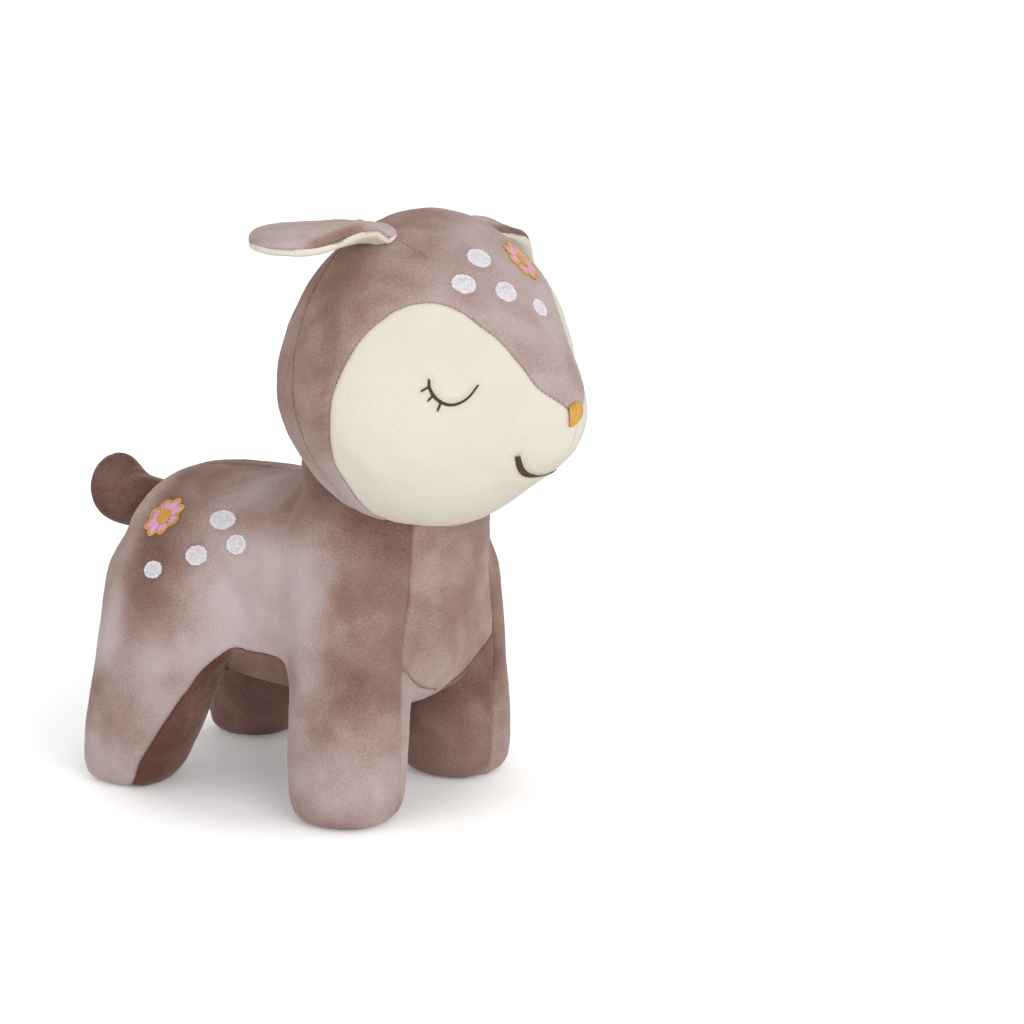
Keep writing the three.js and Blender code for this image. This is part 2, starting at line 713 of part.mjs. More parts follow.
const strip = middleStrip(0);
const stripWithGap = middleStrip(seamGap);
const sides = { right: -1, left: 1 };
for (const [name, side] of Object.entries(sides)) {
  const shape = bodyCloth.intersect(sideBlock(side, seamGap / 2)).subtract(stripWithGap)
    .subtract(floorBlock(soleHem + seamGap));
  addPart(bodyGroup, `side_panel_${name}`, mainPart(shape), taupeVelour);
}
const chestBelly = bodyCloth.intersect(strip).intersect(torsoForm(0));
addPart(bodyGroup, 'chest_belly_panel', mainPart(chestBelly), taupeVelour);
const gussetCloth = bodyCloth.intersect(strip.add(floorBlock(soleHem))).subtract(torsoForm(-seamGap));
for (const leg of legs) {
  const sideRange = leg.side < 0 ? [-farSide, -seamGap] : [seamGap, farSide];
  const lengthRange = leg.front ? [farFront, gussetPlace] : [gussetPlace, farBack];
  const quarter = block(
    new THREE.Vector3(sideRange[0], lengthRange[0], -cutOverrun),
    new THREE.Vector3(sideRange[1], lengthRange[1], legHeight),
  );
  addPart(bodyGroup, `inner_leg_panel_${leg.name}`, mainPart(gussetCloth.intersect(quarter)), taupeVelour);
}
deer.add(bodyGroup);

const headGroup = new THREE.Group();
const earPoses = { right: earRight, left: earLeft };
const earGroups = { right: earGroup(-1, earRight), left: earGroup(1, earLeft) };
const earSeat = bead(earRootRadius + seatClearance, seamGap);
const earSeats = union(Object.values(earGroups).map((group) => placed(earSeat, group)));
const headCloth = headForm(0).subtract(headForm(fabricThickness)).subtract(earSeats);
const cheekGaps = cheekCone(-1, seamGap).add(cheekCone(1, seamGap));
addPart(headGroup, 'head_stuffing', headForm(stuffingInset), fibreFill);
const crown = headCloth.subtract(cheekGaps).subtract(headBackPrism(0));
addPart(headGroup, 'crown_panel', mainPart(crown), taupeVelour);
for (const [name, side] of Object.entries(sides)) {
  const half = headCloth.intersect(sideBlock(side, seamGap / 2));
  addPart(headGroup, `cheek_panel_${name}`, mainPart(half.intersect(cheekCone(side, 0))), creamVelour);
  const back = half.subtract(cheekGaps).intersect(headBackPrism(-seamGap));
  addPart(headGroup, `head_back_panel_${name}`, mainPart(back), taupeVelour);
}

for (const [name, side] of Object.entries(sides)) {
  const group = earGroups[name];
  const rootGap = bead(earRootRadius + seamGap, cutOverrun);
  const outer = earPad(side, true, earPoses[name]).add(bead(earRootRadius, 0));
  const lining = mainPart(earPad(side, false, earPoses[name]).subtract(rootGap));
  addPart(group, `ear_outer_${name}`, outer, taupeVelour);
  addPart(group, `ear_lining_${name}`, lining, creamVelour);
  headGroup.add(group);
}

const headLayer = layerOver(headForm);
const forward = new THREE.Vector3(0, -1, 0);
const nose = embroider([noseOutline()], headFront(0, noseLevel), forward, headLayer);
addPart(headGroup, 'nose_embroidery', nose, goldThread);
for (const [name, side] of Object.entries(sides)) {
  const place = headFront(side * eyePlace.x, eyePlace.z);
  const outward = new THREE.Vector3(place.x - headCentre.x, place.y - headCentre.y, 0).normalize();
  const { shape, radius, rise } = arcBand(eyeHalfSpan, eyeSag);
  const lashes = lashAngles.map((degrees) => lash(radius, rise, side < 0 ? degrees : 180 - degrees));
  addPart(headGroup, `eye_${name}`, embroider([shape, ...lashes], place, outward, headLayer), brownThread);
}
const mouthLine = arcBand(mouthHalfSpan, mouthSag).shape;
const mouth = embroider([mouthLine], headFront(0, mouthLevel), forward, headLayer);
addPart(headGroup, 'mouth_embroidery', mouth, brownThread);

function headPlace(direction) {
  return directionFrom(direction).multiplyScalar(headReach(directionFrom(direction))).add(headCentre);
}

headSpotShares.forEach(({ direction, wide, high }, i) => {
  const outline = oval(wide * spotHalfWidth, high * spotHalfHeight);
  const shape = embroider([outline], headPlace(direction), directionFrom(direction), headLayer);
  addPart(headGroup, `head_spot_${i + 1}`, shape, whiteThread);
});
const flower = flowerOutlines();
const flowerFinishes = { outline: goldThread, petals: pinkThread, centre: goldThread };
for (const [name, finish] of Object.entries(flowerFinishes)) {
  const shape = embroider(
    [flower[name]], headPlace(headFlowerDirection), directionFrom(headFlowerDirection), headLayer);
  addPart(headGroup, `head_flower_${name}`, shape, finish);
}
deer.add(headGroup);

const flankLayer = layerOver((inset) => barrelForm(inset).add(hindLegForm(-1, inset)));
const rightward = new THREE.Vector3(-1, 0, 0);
const flankPlace = ({ along, rise }) => new THREE.Vector3(
  -barrelHalfWidth, rumpEnd - along * barrelLength, barrelLevel + rise * barrelHalfHeight);
flankSpotShares.forEach((spot, i) => {
  const outline = oval(spot.wide * spotHalfWidth, spot.high * spotHalfHeight);
  const shape = embroider([outline], flankPlace(spot), rightward, flankLayer);
  addPart(bodyGroup, `flank_spot_${i + 1}`, shape, whiteThread);
});
for (const [name, finish] of Object.entries(flowerFinishes)) {
  const shape = embroider([flower[name]], flankPlace(flankFlowerShares), rightward, flankLayer);
  addPart(bodyGroup, `flank_flower_${name}`, shape, finish);
}

const tailGroup = new THREE.Group();
const tailMouth = block(
  new THREE.Vector3(-tailMouthRadius, tailRoot.y - 2 * tailRootRadius, tailRoot.z - tailMouthRadius),
  new THREE.Vector3(tailMouthRadius, tailRoot.y, tailRoot.z + tailMouthRadius),
);
addPart(tailGroup, 'tail_stuffing', tailForm(stuffingInset), fibreFill);
const tailCloth = tailForm(0).subtract(tailForm(fabricThickness)).subtract(tailMouth);
addPart(tailGroup, 'tail_cover', tailCloth, taupeVelour);
deer.add(tailGroup);

export default deer;
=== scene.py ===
# A sewn plush deer in taupe and cream short-pile velour, standing on a pale studio floor. The covers are
# modelled as stuffed panels whose edges roll down into their seams, the embroidery as laid threads, and the
# seams as rows of lockstitches. Shapes are worked out in millimetres and turned to metres in new_mesh.
import math

import bpy
import numpy as np
from mathutils import Matrix, Vector
from mathutils.kdtree import KDTree


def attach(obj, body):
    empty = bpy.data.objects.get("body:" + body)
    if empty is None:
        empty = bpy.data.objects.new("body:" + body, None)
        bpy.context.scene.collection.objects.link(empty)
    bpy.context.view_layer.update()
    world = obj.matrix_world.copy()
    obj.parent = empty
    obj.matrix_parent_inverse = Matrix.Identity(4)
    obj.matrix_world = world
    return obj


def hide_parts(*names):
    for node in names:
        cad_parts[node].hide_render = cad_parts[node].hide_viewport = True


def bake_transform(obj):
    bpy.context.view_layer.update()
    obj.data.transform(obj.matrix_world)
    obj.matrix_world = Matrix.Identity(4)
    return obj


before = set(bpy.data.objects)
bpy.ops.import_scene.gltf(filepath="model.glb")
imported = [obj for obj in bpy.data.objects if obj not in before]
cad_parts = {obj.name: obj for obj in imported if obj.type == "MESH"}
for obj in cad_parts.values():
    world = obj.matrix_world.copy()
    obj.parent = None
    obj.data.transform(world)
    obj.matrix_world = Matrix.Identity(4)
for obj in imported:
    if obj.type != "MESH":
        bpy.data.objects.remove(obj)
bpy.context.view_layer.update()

MM = 0.001
SIDES = {"right": -1, "left": 1}

# Sizes in millimetres and shapes that are shared with the part
HEAD_CENTRE = np.array([0.0, -55.0, 201.5])
HEAD_HALF_WIDTH = 80.5
HEAD_HALF_BACK = 59.0
HEAD_HALF_FRONT = 62.5
HEAD_HALF_HEIGHT = 74.0
HEAD_SQUARE = 1.92
HEAD_PEAR = 0.073
MUZZLE_LENGTH = 21.0
MUZZLE = {"side": 0.417, "above": 0.551, "below": 0.448, "level": -0.268, "forward": 1.5}
BARREL = {"half_width": 50.3, "half_height": 41.2, "belly": 58.0, "level": 106.6, "rump_end": 99.5,
          "length": 168.0}
CHEST = {"place": -40.0, "half_width": 49.4, "half_depth": 35.2, "bottom": 47.5, "top": 175.0}
BODY_SQUARE = 2.2
BELLY_SQUARE = 3.0
LEG_SQUARE = 2.3
LEG_HEIGHT = 125.0
SOLE_CUT = 0.5
FRONT_FOOT = {"x": 44.9, "y": -40.6, "half_width": 25.3, "half_depth": 26.2, "in": 18.0, "back": 2.0}
HIND_FOOT = {"x": 48.0, "y": 82.7, "half_width": 24.7, "half_depth": 25.8, "in": 20.0, "forward": 21.0}
THIGH_HALF_DEPTH = 37.0
THIGH_FROM = 0.6

# How far the nape draws in towards the neck, in millimetres
NAPE_TUCK = 5.0

# How far neighbouring forms flow into each other, in millimetres
TORSO_FLOW = 16.0
OUTER_LEG_FLOW = 15.0
INNER_LEG_FLOW = 5.0

# Stations of the lofts, as shares of the sizes above: place, then half width and depths or heights, with the
# lean of a leg second and a hind leg's share of its thigh last
BARREL_SHARES = [
    (0, 0.06, 0.1, 0.07), (0.012, 0.4, 0.36, 0.26), (0.054, 0.72, 0.7, 0.5), (0.143, 0.93, 0.93, 0.72),
    (0.32, 1, 1, 0.94), (0.52, 1, 1, 1), (0.73, 1, 1, 1), (0.88, 0.9, 0.95, 0.93), (0.975, 0.6, 0.7, 0.7),
    (1, 0.1, 0.1, 0.1)]
CHEST_SHARES = [
    (0, 0.08, 0.1), (0.02, 0.5, 0.45), (0.1, 0.8, 0.75), (0.255, 0.95, 0.93), (0.49, 1, 1),
    (0.725, 0.975, 1.08), (0.88, 0.95, 1.15), (1, 0.9, 1.04)]
FRONT_SHARES = [
    (0, 0, 0.5, 0.5), (0.012, 0, 0.7, 0.7), (0.064, 0, 0.92, 0.92), (0.224, 0.055, 1, 1),
    (0.44, 0.22, 1, 1.02), (0.64, 0.44, 1.02, 1.05), (0.84, 0.72, 1, 1), (1, 1, 0.6, 0.7)]
HIND_SHARES = [
    (0, 0, 0.5, 0.5, 0), (0.012, 0, 0.7, 0.7, 0), (0.064, 0, 0.9, 0.9, 0), (0.224, 0.05, 1, 1, 0.2),
    (0.44, 0.2, 1.02, 1, 0.6), (0.64, 0.4, 1.03, 1, 1), (0.84, 0.7, 0.95, 0.95, 1), (0.96, 1, 0.6, 0.6, 1)]


# Forms of the body


def lerp(a, b, share):
    """The value a share of the way from a to b."""
    return a + (b - a) * share


def smooth_step(value, low, high):
    """0 below low, 1 above high and a smooth slope between them."""
    share = np.clip((value - low) / (high - low), 0, 1)
    return share * share * (3 - 2 * share)


def between(at, places, rows):
    """Rows of values at places between those where they are known."""
    return np.array([np.interp(at, places, column) for column in rows.T]).T


def curve_through(rows, steps):
    """Points on a smooth curve from the second row to the last but one."""
    t = np.linspace(0, 1, steps, endpoint=False)[:, None]
    parts = []
    for a, b, c, d in zip(rows, rows[1:], rows[2:], rows[3:]):
        cubic = (3 * b - a - 3 * c + d) * t**3
        parts.append(0.5 * (2 * b + (c - a) * t + (2 * a - 5 * b + 4 * c - d) * t**2 + cubic))
    return np.vstack(parts)


def open_curve(points, steps=12):
    """A smooth line through points, from the first to the last."""
    points = np.array(points, float)
    ends = np.vstack([2 * points[0] - points[1], points, 2 * points[-1] - points[-2]])
    return np.vstack([curve_through(ends, steps), points[-1:]])


def closed_curve(points):
    """A smooth closed line through points."""
    return curve_through(np.vstack([points[-1:], points, points[:2]]), 10)


def smooth_table(stations):
    """A dense table of rows on a smooth curve through the stations."""
    rows = np.array(stations, float)
    table = open_curve(rows[np.argsort(rows[:, 0])], 24)
    table[:, 0] = np.maximum.accumulate(table[:, 0])
    return table


class Loft:
    """A form of rounded-square sections that follow each other upward or along y."""

    def __init__(self, stations, upright, square, below_square):
        self.table = smooth_table(stations)
        self.upright = upright
        self.square = square
        self.below_square = below_square

    def distance(self, points):
        """About how far points lie outside the form, and negative inside it."""
        at, across = (points[:, 2], points[:, 1]) if self.upright else (points[:, 1], points[:, 2])
        places = self.table[:, 0]
        inside = np.clip(at, places[0], places[-1])
        side, middle, half_side, above, below = between(inside, places, self.table[:, 1:]).T
        u = points[:, 0] - side
        v = across - middle
        power = np.where(v < 0, self.below_square, self.square)
        half_across = np.where(v < 0, below, above)
        share = (np.abs(u / half_side)**power + np.abs(v / half_across)**power)**(1 / power)
        radius = np.hypot(u, v)
        gap = radius - (radius + 1e-9) / (share + 1e-9 / half_side)
        return np.where(at == inside, gap, np.hypot(np.maximum(gap, 0), at - inside))

    def mesh(self, step=3.0, sides=64):
        """Points and faces of the form as a closed tube."""
        low, high = self.table[[0, -1], 0]
        angle = np.linspace(0, 2 * math.pi, sides, endpoint=False)
        power = np.where(np.sin(angle) < 0, self.below_square, self.square)
        u = np.sign(np.cos(angle)) * np.abs(np.cos(angle))**(2 / power)
        v = np.sign(np.sin(angle)) * np.abs(np.sin(angle))**(2 / power)
        places = np.linspace(low, high, int((high - low) / step) + 2)
        rings = []
        for place in places:
            side, middle, half_side, above, below = between(place, self.table[:, 0], self.table[:, 1:])
            x = side + u * half_side
            across = middle + v * np.where(v < 0, below, above)
            at = np.full(sides, place)
            rings.append(np.column_stack([x, across, at] if self.upright else [x, at, across]))
        faces = tube_faces(len(places), sides)
        return with_middles(np.vstack(rings), sides), faces if self.upright else faces[:, ::-1]


def barrel_loft():
    """The barrel, from its rump forward."""
    b = BARREL
    stations = [
        (b["rump_end"] - place * b["length"], 0, b["level"], width * b["half_width"],
         height * b["half_height"], depth * b["belly"])
        for place, width, height, depth in BARREL_SHARES]
    return Loft(stations, False, BODY_SQUARE, BELLY_SQUARE)


def chest_loft():
    """The chest and neck, from the bottom up."""
    c = CHEST
    stations = [
        (lerp(c["bottom"], c["top"], height), 0, c["place"], width * c["half_width"], depth * c["half_depth"],
         depth * c["half_depth"])
        for height, width, depth in CHEST_SHARES]
    return Loft(stations, True, BODY_SQUARE, BODY_SQUARE)


def leg_height(share):
    """A station's height. The first lies a little under the floor, which cuts the sole flat."""
    return share * (LEG_HEIGHT + SOLE_CUT) - SOLE_CUT


def front_leg_loft(side):
    """A front leg, from the sole up, leaning in and back."""
    f = FRONT_FOOT
    stations = [
        (leg_height(height), side * (f["x"] - lean * f["in"]), f["y"] + lean * f["back"],
         width * f["half_width"], depth * f["half_depth"], depth * f["half_depth"])
        for height, lean, width, depth in FRONT_SHARES]
    return Loft(stations, True, LEG_SQUARE, LEG_SQUARE)


def hind_leg_loft(side):
    """A hind leg, from the sole up, deeper at the thigh."""
    f = HIND_FOOT
    stations = []
    for height, lean, width, depth, thigh in HIND_SHARES:
        half_depth = depth * lerp(f["half_depth"], THIGH_HALF_DEPTH, thigh)
        place = f["y"] - min(1, height / THIGH_FROM) * f["forward"]
        middle = side * (f["x"] - lean * f["in"])
        stations.append((leg_height(height), middle, place, width * f["half_width"], half_depth, half_depth))
    return Loft(stations, True, LEG_SQUARE, LEG_SQUARE)


BARREL_LOFT = barrel_loft()
CHEST_LOFT = chest_loft()
LEG_LOFTS = {
    f"{place}_{name}": leg_loft(side)
    for place, leg_loft in (("front", front_leg_loft), ("hind", hind_leg_loft))
    for name, side in SIDES.items()}


def flow_together(a, b, reach):
    """The smaller of two distances, rounded where they are alike."""
    share = np.clip(0.5 + 0.5 * (b - a) / reach, 0, 1)
    return lerp(b, a, share) - reach * share * (1 - share)


def torso_distance(points):
    """About how far points lie outside the barrel and chest."""
    return flow_together(BARREL_LOFT.distance(points), CHEST_LOFT.distance(points), TORSO_FLOW)


def legs_distance(points):
    """About how far points lie outside the nearest leg."""
    return np.min([leg.distance(points) for leg in LEG_LOFTS.values()], axis=0)


def body_distance(points):
    """About how far points lie outside the body. Its cover runs smoothly over the outer hips and shoulders,
    and folds sharply where the legs meet inside."""
    outer = np.maximum(smooth_step(np.abs(points[:, 0]), 38, 52), smooth_step(points[:, 1], 62, 85))
    reach = lerp(INNER_LEG_FLOW, OUTER_LEG_FLOW, outer)
    return flow_together(torso_distance(points), legs_distance(points), reach)


# Form of the head


def unit(ways):
    """Vectors of length one that point the same ways."""
    return ways / np.maximum(np.linalg.norm(ways, axis=-1, keepdims=True), 1e-12)


def plane_axes(outward):
    """The ways to the right and up on a plane that faces outward."""
    right = unit(np.cross([0, 0, 1], outward))
    return right, np.cross(outward, right)


def length_along(points):
    """The length of a line of points up to each of them."""
    steps = np.linalg.norm(np.diff(points, axis=0), axis=1)
    return np.concatenate([[0], np.cumsum(steps)])


def directions(pairs):
    """Unit vectors from rows of azimuth and elevation, in degrees, seen from the head's centre."""
    a, e = np.radians(np.array(pairs, float)).T
    return np.column_stack([np.sin(a) * np.cos(e), -np.cos(a) * np.cos(e), np.sin(e)])


def head_reach(d):
    """How far the head reaches from its centre along unit vectors."""
    width = HEAD_HALF_WIDTH * (1 - HEAD_PEAR * d[:, 2])
    depth = np.where(d[:, 1] > 0, HEAD_HALF_BACK, HEAD_HALF_FRONT)
    total = (np.abs(d[:, 0] / width)**HEAD_SQUARE + np.abs(d[:, 1] / depth)**HEAD_SQUARE
             + np.abs(d[:, 2] / HEAD_HALF_HEIGHT)**HEAD_SQUARE)
    rise = d[:, 2] - MUZZLE["level"]
    half = np.where(rise > 0, MUZZLE["above"], MUZZLE["below"])
    bump = np.exp(-(d[:, 0] / MUZZLE["side"])**2 - (rise / half)**2)
    muzzle = MUZZLE_LENGTH * bump * np.maximum(0, -d[:, 1])**MUZZLE["forward"]
    tuck = NAPE_TUCK * smooth_step(-d[:, 2], 0.05, 0.9) * smooth_step(d[:, 1], -0.6, 0.3)
    return total**(-1 / HEAD_SQUARE) + muzzle - tuck


def head_distance(points):
    """How far points lie outside the head, along rays from its centre."""
    offset = points - HEAD_CENTRE
    length = np.linalg.norm(offset, axis=1)
    return length - head_reach(offset / length[:, None])


def head_surface(pairs):
    """Places on the head in directions given by azimuth and elevation."""
    d = directions(pairs)
    return HEAD_CENTRE + d * head_reach(d)[:, None]


# Mesh helpers


def ripple(points, size, seed):
    """A smooth random field from -1 to 1 with bumps of about that size, the same on every run."""
    random = np.random.RandomState(seed)
    total = np.zeros(len(points))
    waves = 12
    for _ in range(waves):
        way = random.normal(size=3)
        way *= 2 * math.pi / (size * random.uniform(1.4, 2.6)) / np.linalg.norm(way)
        total += np.sin(points @ way + random.uniform(0, 2 * math.pi))
    return total / math.sqrt(waves)


def slope(distance, points):
    """The way in which the distance grows fastest at each point, and how fast."""
    step = 0.4
    columns = []
    for axis in np.eye(3) * step:
        columns.append((distance(points + axis) - distance(points - axis)) / (2 * step))
    return np.column_stack(columns)


def onto_surface(distance, points, rounds, cap):
    """Moves points to where the distance is zero, by at most the cap in each round."""
    for _ in range(rounds):
        gap = distance(points)
        way = slope(distance, points)
        steepness = np.maximum((way**2).sum(1), 0.2)
        move = -way * (gap / steepness)[:, None]
        length = np.linalg.norm(move, axis=1)
        points = points + move * np.minimum(1, cap / np.maximum(length, 1e-9))[:, None]
    return points


def new_object(name, data):
    """An object of the scene that holds the data."""
    thing = bpy.data.objects.new(name, data)
    bpy.context.scene.collection.objects.link(thing)
    return thing


def new_mesh(name, points, faces):
    """A mesh from points in millimetres."""
    mesh = bpy.data.meshes.new(name)
    mesh.from_pydata(np.asarray(points) * MM, [], [tuple(face) for face in np.asarray(faces).tolist()])
    mesh.update()
    return mesh


def taken_apart(model):
    """Points and triangles of a scratch object in its own units. The object is removed."""
    mesh = model.data
    mesh.calc_loop_triangles()
    faces = np.zeros(len(mesh.loop_triangles) * 3, np.int32)
    mesh.loop_triangles.foreach_get("vertices", faces)
    points = np.zeros(len(mesh.vertices) * 3, np.float32)
    mesh.vertices.foreach_get("co", points)
    bpy.data.objects.remove(model)
    return points.reshape(-1, 3).astype(float), faces.reshape(-1, 3)


def normals_of(points, faces):
    """Outward unit normals at the points of a triangle mesh."""
    corner = points[faces]
    cross = np.cross(corner[:, 1] - corner[:, 0], corner[:, 2] - corner[:, 0])
    total = np.zeros_like(points)
    for k in range(3):
        for axis in range(3):
            total[:, axis] += np.bincount(faces[:, k], cross[:, axis], len(points))
    return unit(total)


def edges_of(faces):
    """Each edge of a triangle mesh once."""
    pairs = np.vstack([faces[:, [0, 1]], faces[:, [1, 2]], faces[:, [2, 0]]])
    return np.unique(np.sort(pairs, axis=1), axis=0)


def relax(points, edges, weight, rounds):
    """Smooths points towards their neighbours, by a weight for each point."""
    count = np.bincount(edges.ravel(), minlength=len(points))
    for _ in range(rounds):
        total = np.zeros_like(points)
        for axis in range(3):
            total[:, axis] += np.bincount(edges[:, 0], points[edges[:, 1], axis], len(points))
            total[:, axis] += np.bincount(edges[:, 1], points[edges[:, 0], axis], len(points))
        middle = total / np.maximum(count, 1)[:, None]
        points = lerp(points, middle, np.asarray(weight)[:, None])
    return points


def pushed(points, faces, amount):
    """Points moved outward along their normals, by a value for each or for all."""
    return points + normals_of(points, faces) * np.reshape(amount, (-1, 1))


def tube_faces(rings, sides):
    """Triangles of a tube whose rings of points come in order, each closed by a middle point that follows
    the rings, the first ring's and then the last one's."""
    faces = []
    ahead = [(j + 1) % sides for j in range(sides)]
    for start in range(0, (rings - 1) * sides, sides):
        for j in range(sides):
            a = start + j
            b = start + ahead[j]
            faces += [(a, b, b + sides), (a, b + sides, a + sides)]
    last = (rings - 1) * sides
    middle = rings * sides
    for j in range(sides):
        faces.append((middle, ahead[j], j))
        faces.append((middle + 1, last + j, last + ahead[j]))
    return np.array(faces)


def with_middles(points, sides):
    """The points of a tube, and after them the middles of its first and last ring."""
    return np.vstack([points, points[:sides].mean(axis=0), points[-sides:].mean(axis=0)])


def joined(parts):
    """Points and faces of several meshes as one."""
    counts = [len(points) for points, _ in parts]
    offsets = np.cumsum([0, *counts[:-1]])
    faces = [part + offset for (_, part), offset in zip(parts, offsets)]
    return np.vstack([points for points, _ in parts]), np.vstack(faces)


def uneven(points, ripples, seed):
    """The sum of ripples, each given by its height and the size of its bumps."""
    fields = [height * ripple(points, size, seed + k) for k, (height, size) in enumerate(ripples)]
    return sum(fields)


def outward_faces(points, faces):
    """The faces, turned over if they look inward."""
    corner = points[faces]
    volume = np.einsum("ij,ij->i", corner[:, 0], np.cross(corner[:, 1], corner[:, 2])).sum()
    return faces if volume > 0 else faces[:, ::-1]


def new_piece(name, points, faces, material, body):
    """A mesh object from points in millimetres, riding on a body unless that is None."""
    mesh = new_mesh(name, points, faces)
    mesh.validate()
    mesh.update()
    mesh.polygons.foreach_set("use_smooth", [True] * len(mesh.polygons))
    mesh.materials.append(material)
    piece = new_object(name, mesh)
    if body:
        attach(piece, body)
    return piece


def set_values(piece, name, values):
    """One number for each point of a piece, for its material to read."""
    attribute = piece.data.attributes.new(name, "FLOAT", "POINT")
    attribute.data.foreach_set("value", np.asarray(values, np.float32))


def nearest(points, targets):
    """Distance from each point to the nearest target."""
    tree = KDTree(len(targets))
    for i, target in enumerate(targets):
        tree.insert(target, i)
    tree.balance()
    return np.array([tree.find(point)[2] for point in points])


# Panels and seams


# The depth of the edge that a panel turns in, and how unevenly the seams draw in: share and size of the bumps
HEM = 2.2
SEAM_PUCKER = [(0.25, 9.0)]


class Panels:
    """A stuffed skin cut into panels by a label for each point. A face takes the highest of its points'."""

    def __init__(self, points, faces, labels, distance):
        self.faces = faces
        self.labels = labels[faces].max(axis=1)
        self.edges = edges_of(faces)
        self.find_seams()
        points = self.straighten(points, distance)
        points[:, 2] = np.maximum(points[:, 2], 0.0)
        self.smooth_points = points
        self.points = points

    def find_seams(self):
        """Edges with a different panel on each side, with the pair of panels that they join."""
        key = {}
        pairs = []
        for k, (a, b, c) in enumerate(self.faces.tolist()):
            for edge in ((a, b), (b, c), (c, a)):
                edge = edge if edge[0] < edge[1] else (edge[1], edge[0])
                if edge in key:
                    other = key.pop(edge)
                    if self.labels[other] != self.labels[k]:
                        joined = tuple(sorted((self.labels[other], self.labels[k])))
                        pairs.append((edge, joined))
                else:
                    key[edge] = k
        self.seam_edges = np.array([edge for edge, _ in pairs])
        self.seam_pairs = [joined for _, joined in pairs]
        self.on_seam = np.unique(self.seam_edges)

    def straighten(self, points, distance):
        """Draws each seam to a clean line on the surface and evens out the mesh beside it."""
        crowd = np.bincount(self.seam_edges.ravel(), minlength=len(points))
        along = crowd % 2 == 0
        line = relax(points, self.seam_edges, np.where(along, 0.5, 0.0), 14)
        line = np.where((along & (crowd > 0))[:, None], line, points)
        near = np.zeros(len(points), bool)
        near[self.on_seam] = True
        for _ in range(3):
            touched = near[self.edges].any(axis=1)
            near[self.edges[touched].ravel()] = True
        weight = np.where(near, 0.5, 0.0)
        weight[self.on_seam] = 0.0
        line = relax(line, self.edges, weight, 4)
        line[near] = onto_surface(distance, line[near], 2, 2.0)
        return line

    def shape(self, depth, width, seed):
        """Rolls the panel edges down into the seams, a little more here and less there."""
        a, b = self.seam_edges.T
        samples = np.vstack([self.points[self.on_seam], (self.points[a] + self.points[b]) / 2])
        normals = normals_of(self.points, self.faces)
        gap = nearest(self.points, samples)
        share = np.clip(1 - gap / width, 0, 1)
        roll = 1 - np.sqrt(np.maximum(0, 1 - share**2))
        strength = 1 + uneven(self.points, SEAM_PUCKER, seed)
        self.normals = normals
        self.points = self.points - normals * (depth * roll * strength)[:, None]

    def press(self, amount):
        """Moves the points outward, by a value for each."""
        self.points = pushed(self.points, self.faces, amount)

    def cut(self, label):
        """Points and faces of one panel, with its edges turned in."""
        faces = self.faces[self.labels == label]
        used, inverse = np.unique(faces, return_inverse=True)
        faces = inverse.reshape(-1, 3)
        points = self.points[used]
        directed = np.vstack([faces[:, [0, 1]], faces[:, [1, 2]], faces[:, [2, 0]]])
        known = set(map(tuple, directed.tolist()))
        rim = [(a, b) for a, b in directed.tolist() if (b, a) not in known]
        on_rim = sorted({a for edge in rim for a in edge})
        inner = {a: len(points) + i for i, a in enumerate(on_rim)}
        normals = self.normals[used]
        points = np.vstack([points, points[on_rim] - normals[on_rim] * HEM])
        wall = []
        for a, b in rim:
            wall += [(b, a, inner[a]), (b, inner[a], inner[b])]
        return points, np.vstack([faces, np.array(wall).reshape(-1, 3)])

    def seam_lines(self, wanted=None):
        """Chains of points along the seams between the wanted pairs of panels."""
        beside = {}
        for (a, b), joined in zip(self.seam_edges.tolist(), self.seam_pairs):
            if wanted is None or wanted(*joined):
                beside.setdefault(a, set()).add(b)
                beside.setdefault(b, set()).add(a)
        lines = []
        ends = [a for a, others in beside.items() if len(others) != 2] + list(beside)
        for start in ends:
            while beside.get(start):
                line = [start]
                while beside.get(line[-1]):
                    onward = min(beside[line[-1]])
                    beside[line[-1]].discard(onward)
                    beside[onward].discard(line[-1])
                    line.append(onward)
                    if len(beside[onward]) > 1:
                        break
                if len(line) > 5:
                    lines.append(line)
        return lines


# Materials


PURE_WHITE = "#FFFFFF"


def colour(code):
    """A hex sRGB colour as linear values for a shader."""
    channels = [int(code[i:i + 2], 16) / 255 for i in (1, 3, 5)]
    linear = [c / 12.92 if c <= 0.04045 else ((c + 0.055) / 1.055)**2.4 for c in channels]
    return (*linear, 1.0)


def set_inputs(tree, node, inputs):
    """Gives a node's inputs values, or links from other sockets."""
    for key, value in inputs.items():
        if isinstance(value, bpy.types.NodeSocket):
            tree.links.new(value, node.inputs[key])
        else:
            node.inputs[key].default_value = value


def add_node(tree, kind, settings=None, inputs=None):
    """One shader node with its settings and inputs."""
    node = tree.nodes.new(kind)
    for key, value in (settings or {}).items():
        setattr(node, key, value)
    set_inputs(tree, node, inputs or {})
    return node


def new_material(name):
    """A material with its node tree and shader."""
    material = bpy.data.materials.new(name)
    material.use_nodes = True
    return material, material.node_tree, material.node_tree.nodes["Principled BSDF"]


def noise(tree, place, size, detail=2.0, roughness=0.5):
    """Noise with bumps of about that size in millimetres."""
    inputs = {"Vector": place, "Scale": 1 / (size * MM), "Detail": detail, "Roughness": roughness}
    return add_node(tree, "ShaderNodeTexNoise", inputs=inputs).outputs["Fac"]


def spread(tree, value, low, high, to_low=0.0, to_high=1.0):
    """The value mapped smoothly from one range to another, and held at its ends."""
    inputs = {"Value": value, "From Min": low, "From Max": high, "To Min": to_low, "To Max": to_high}
    settings = {"interpolation_type": "SMOOTHSTEP"}
    return add_node(tree, "ShaderNodeMapRange", settings, inputs).outputs["Result"]


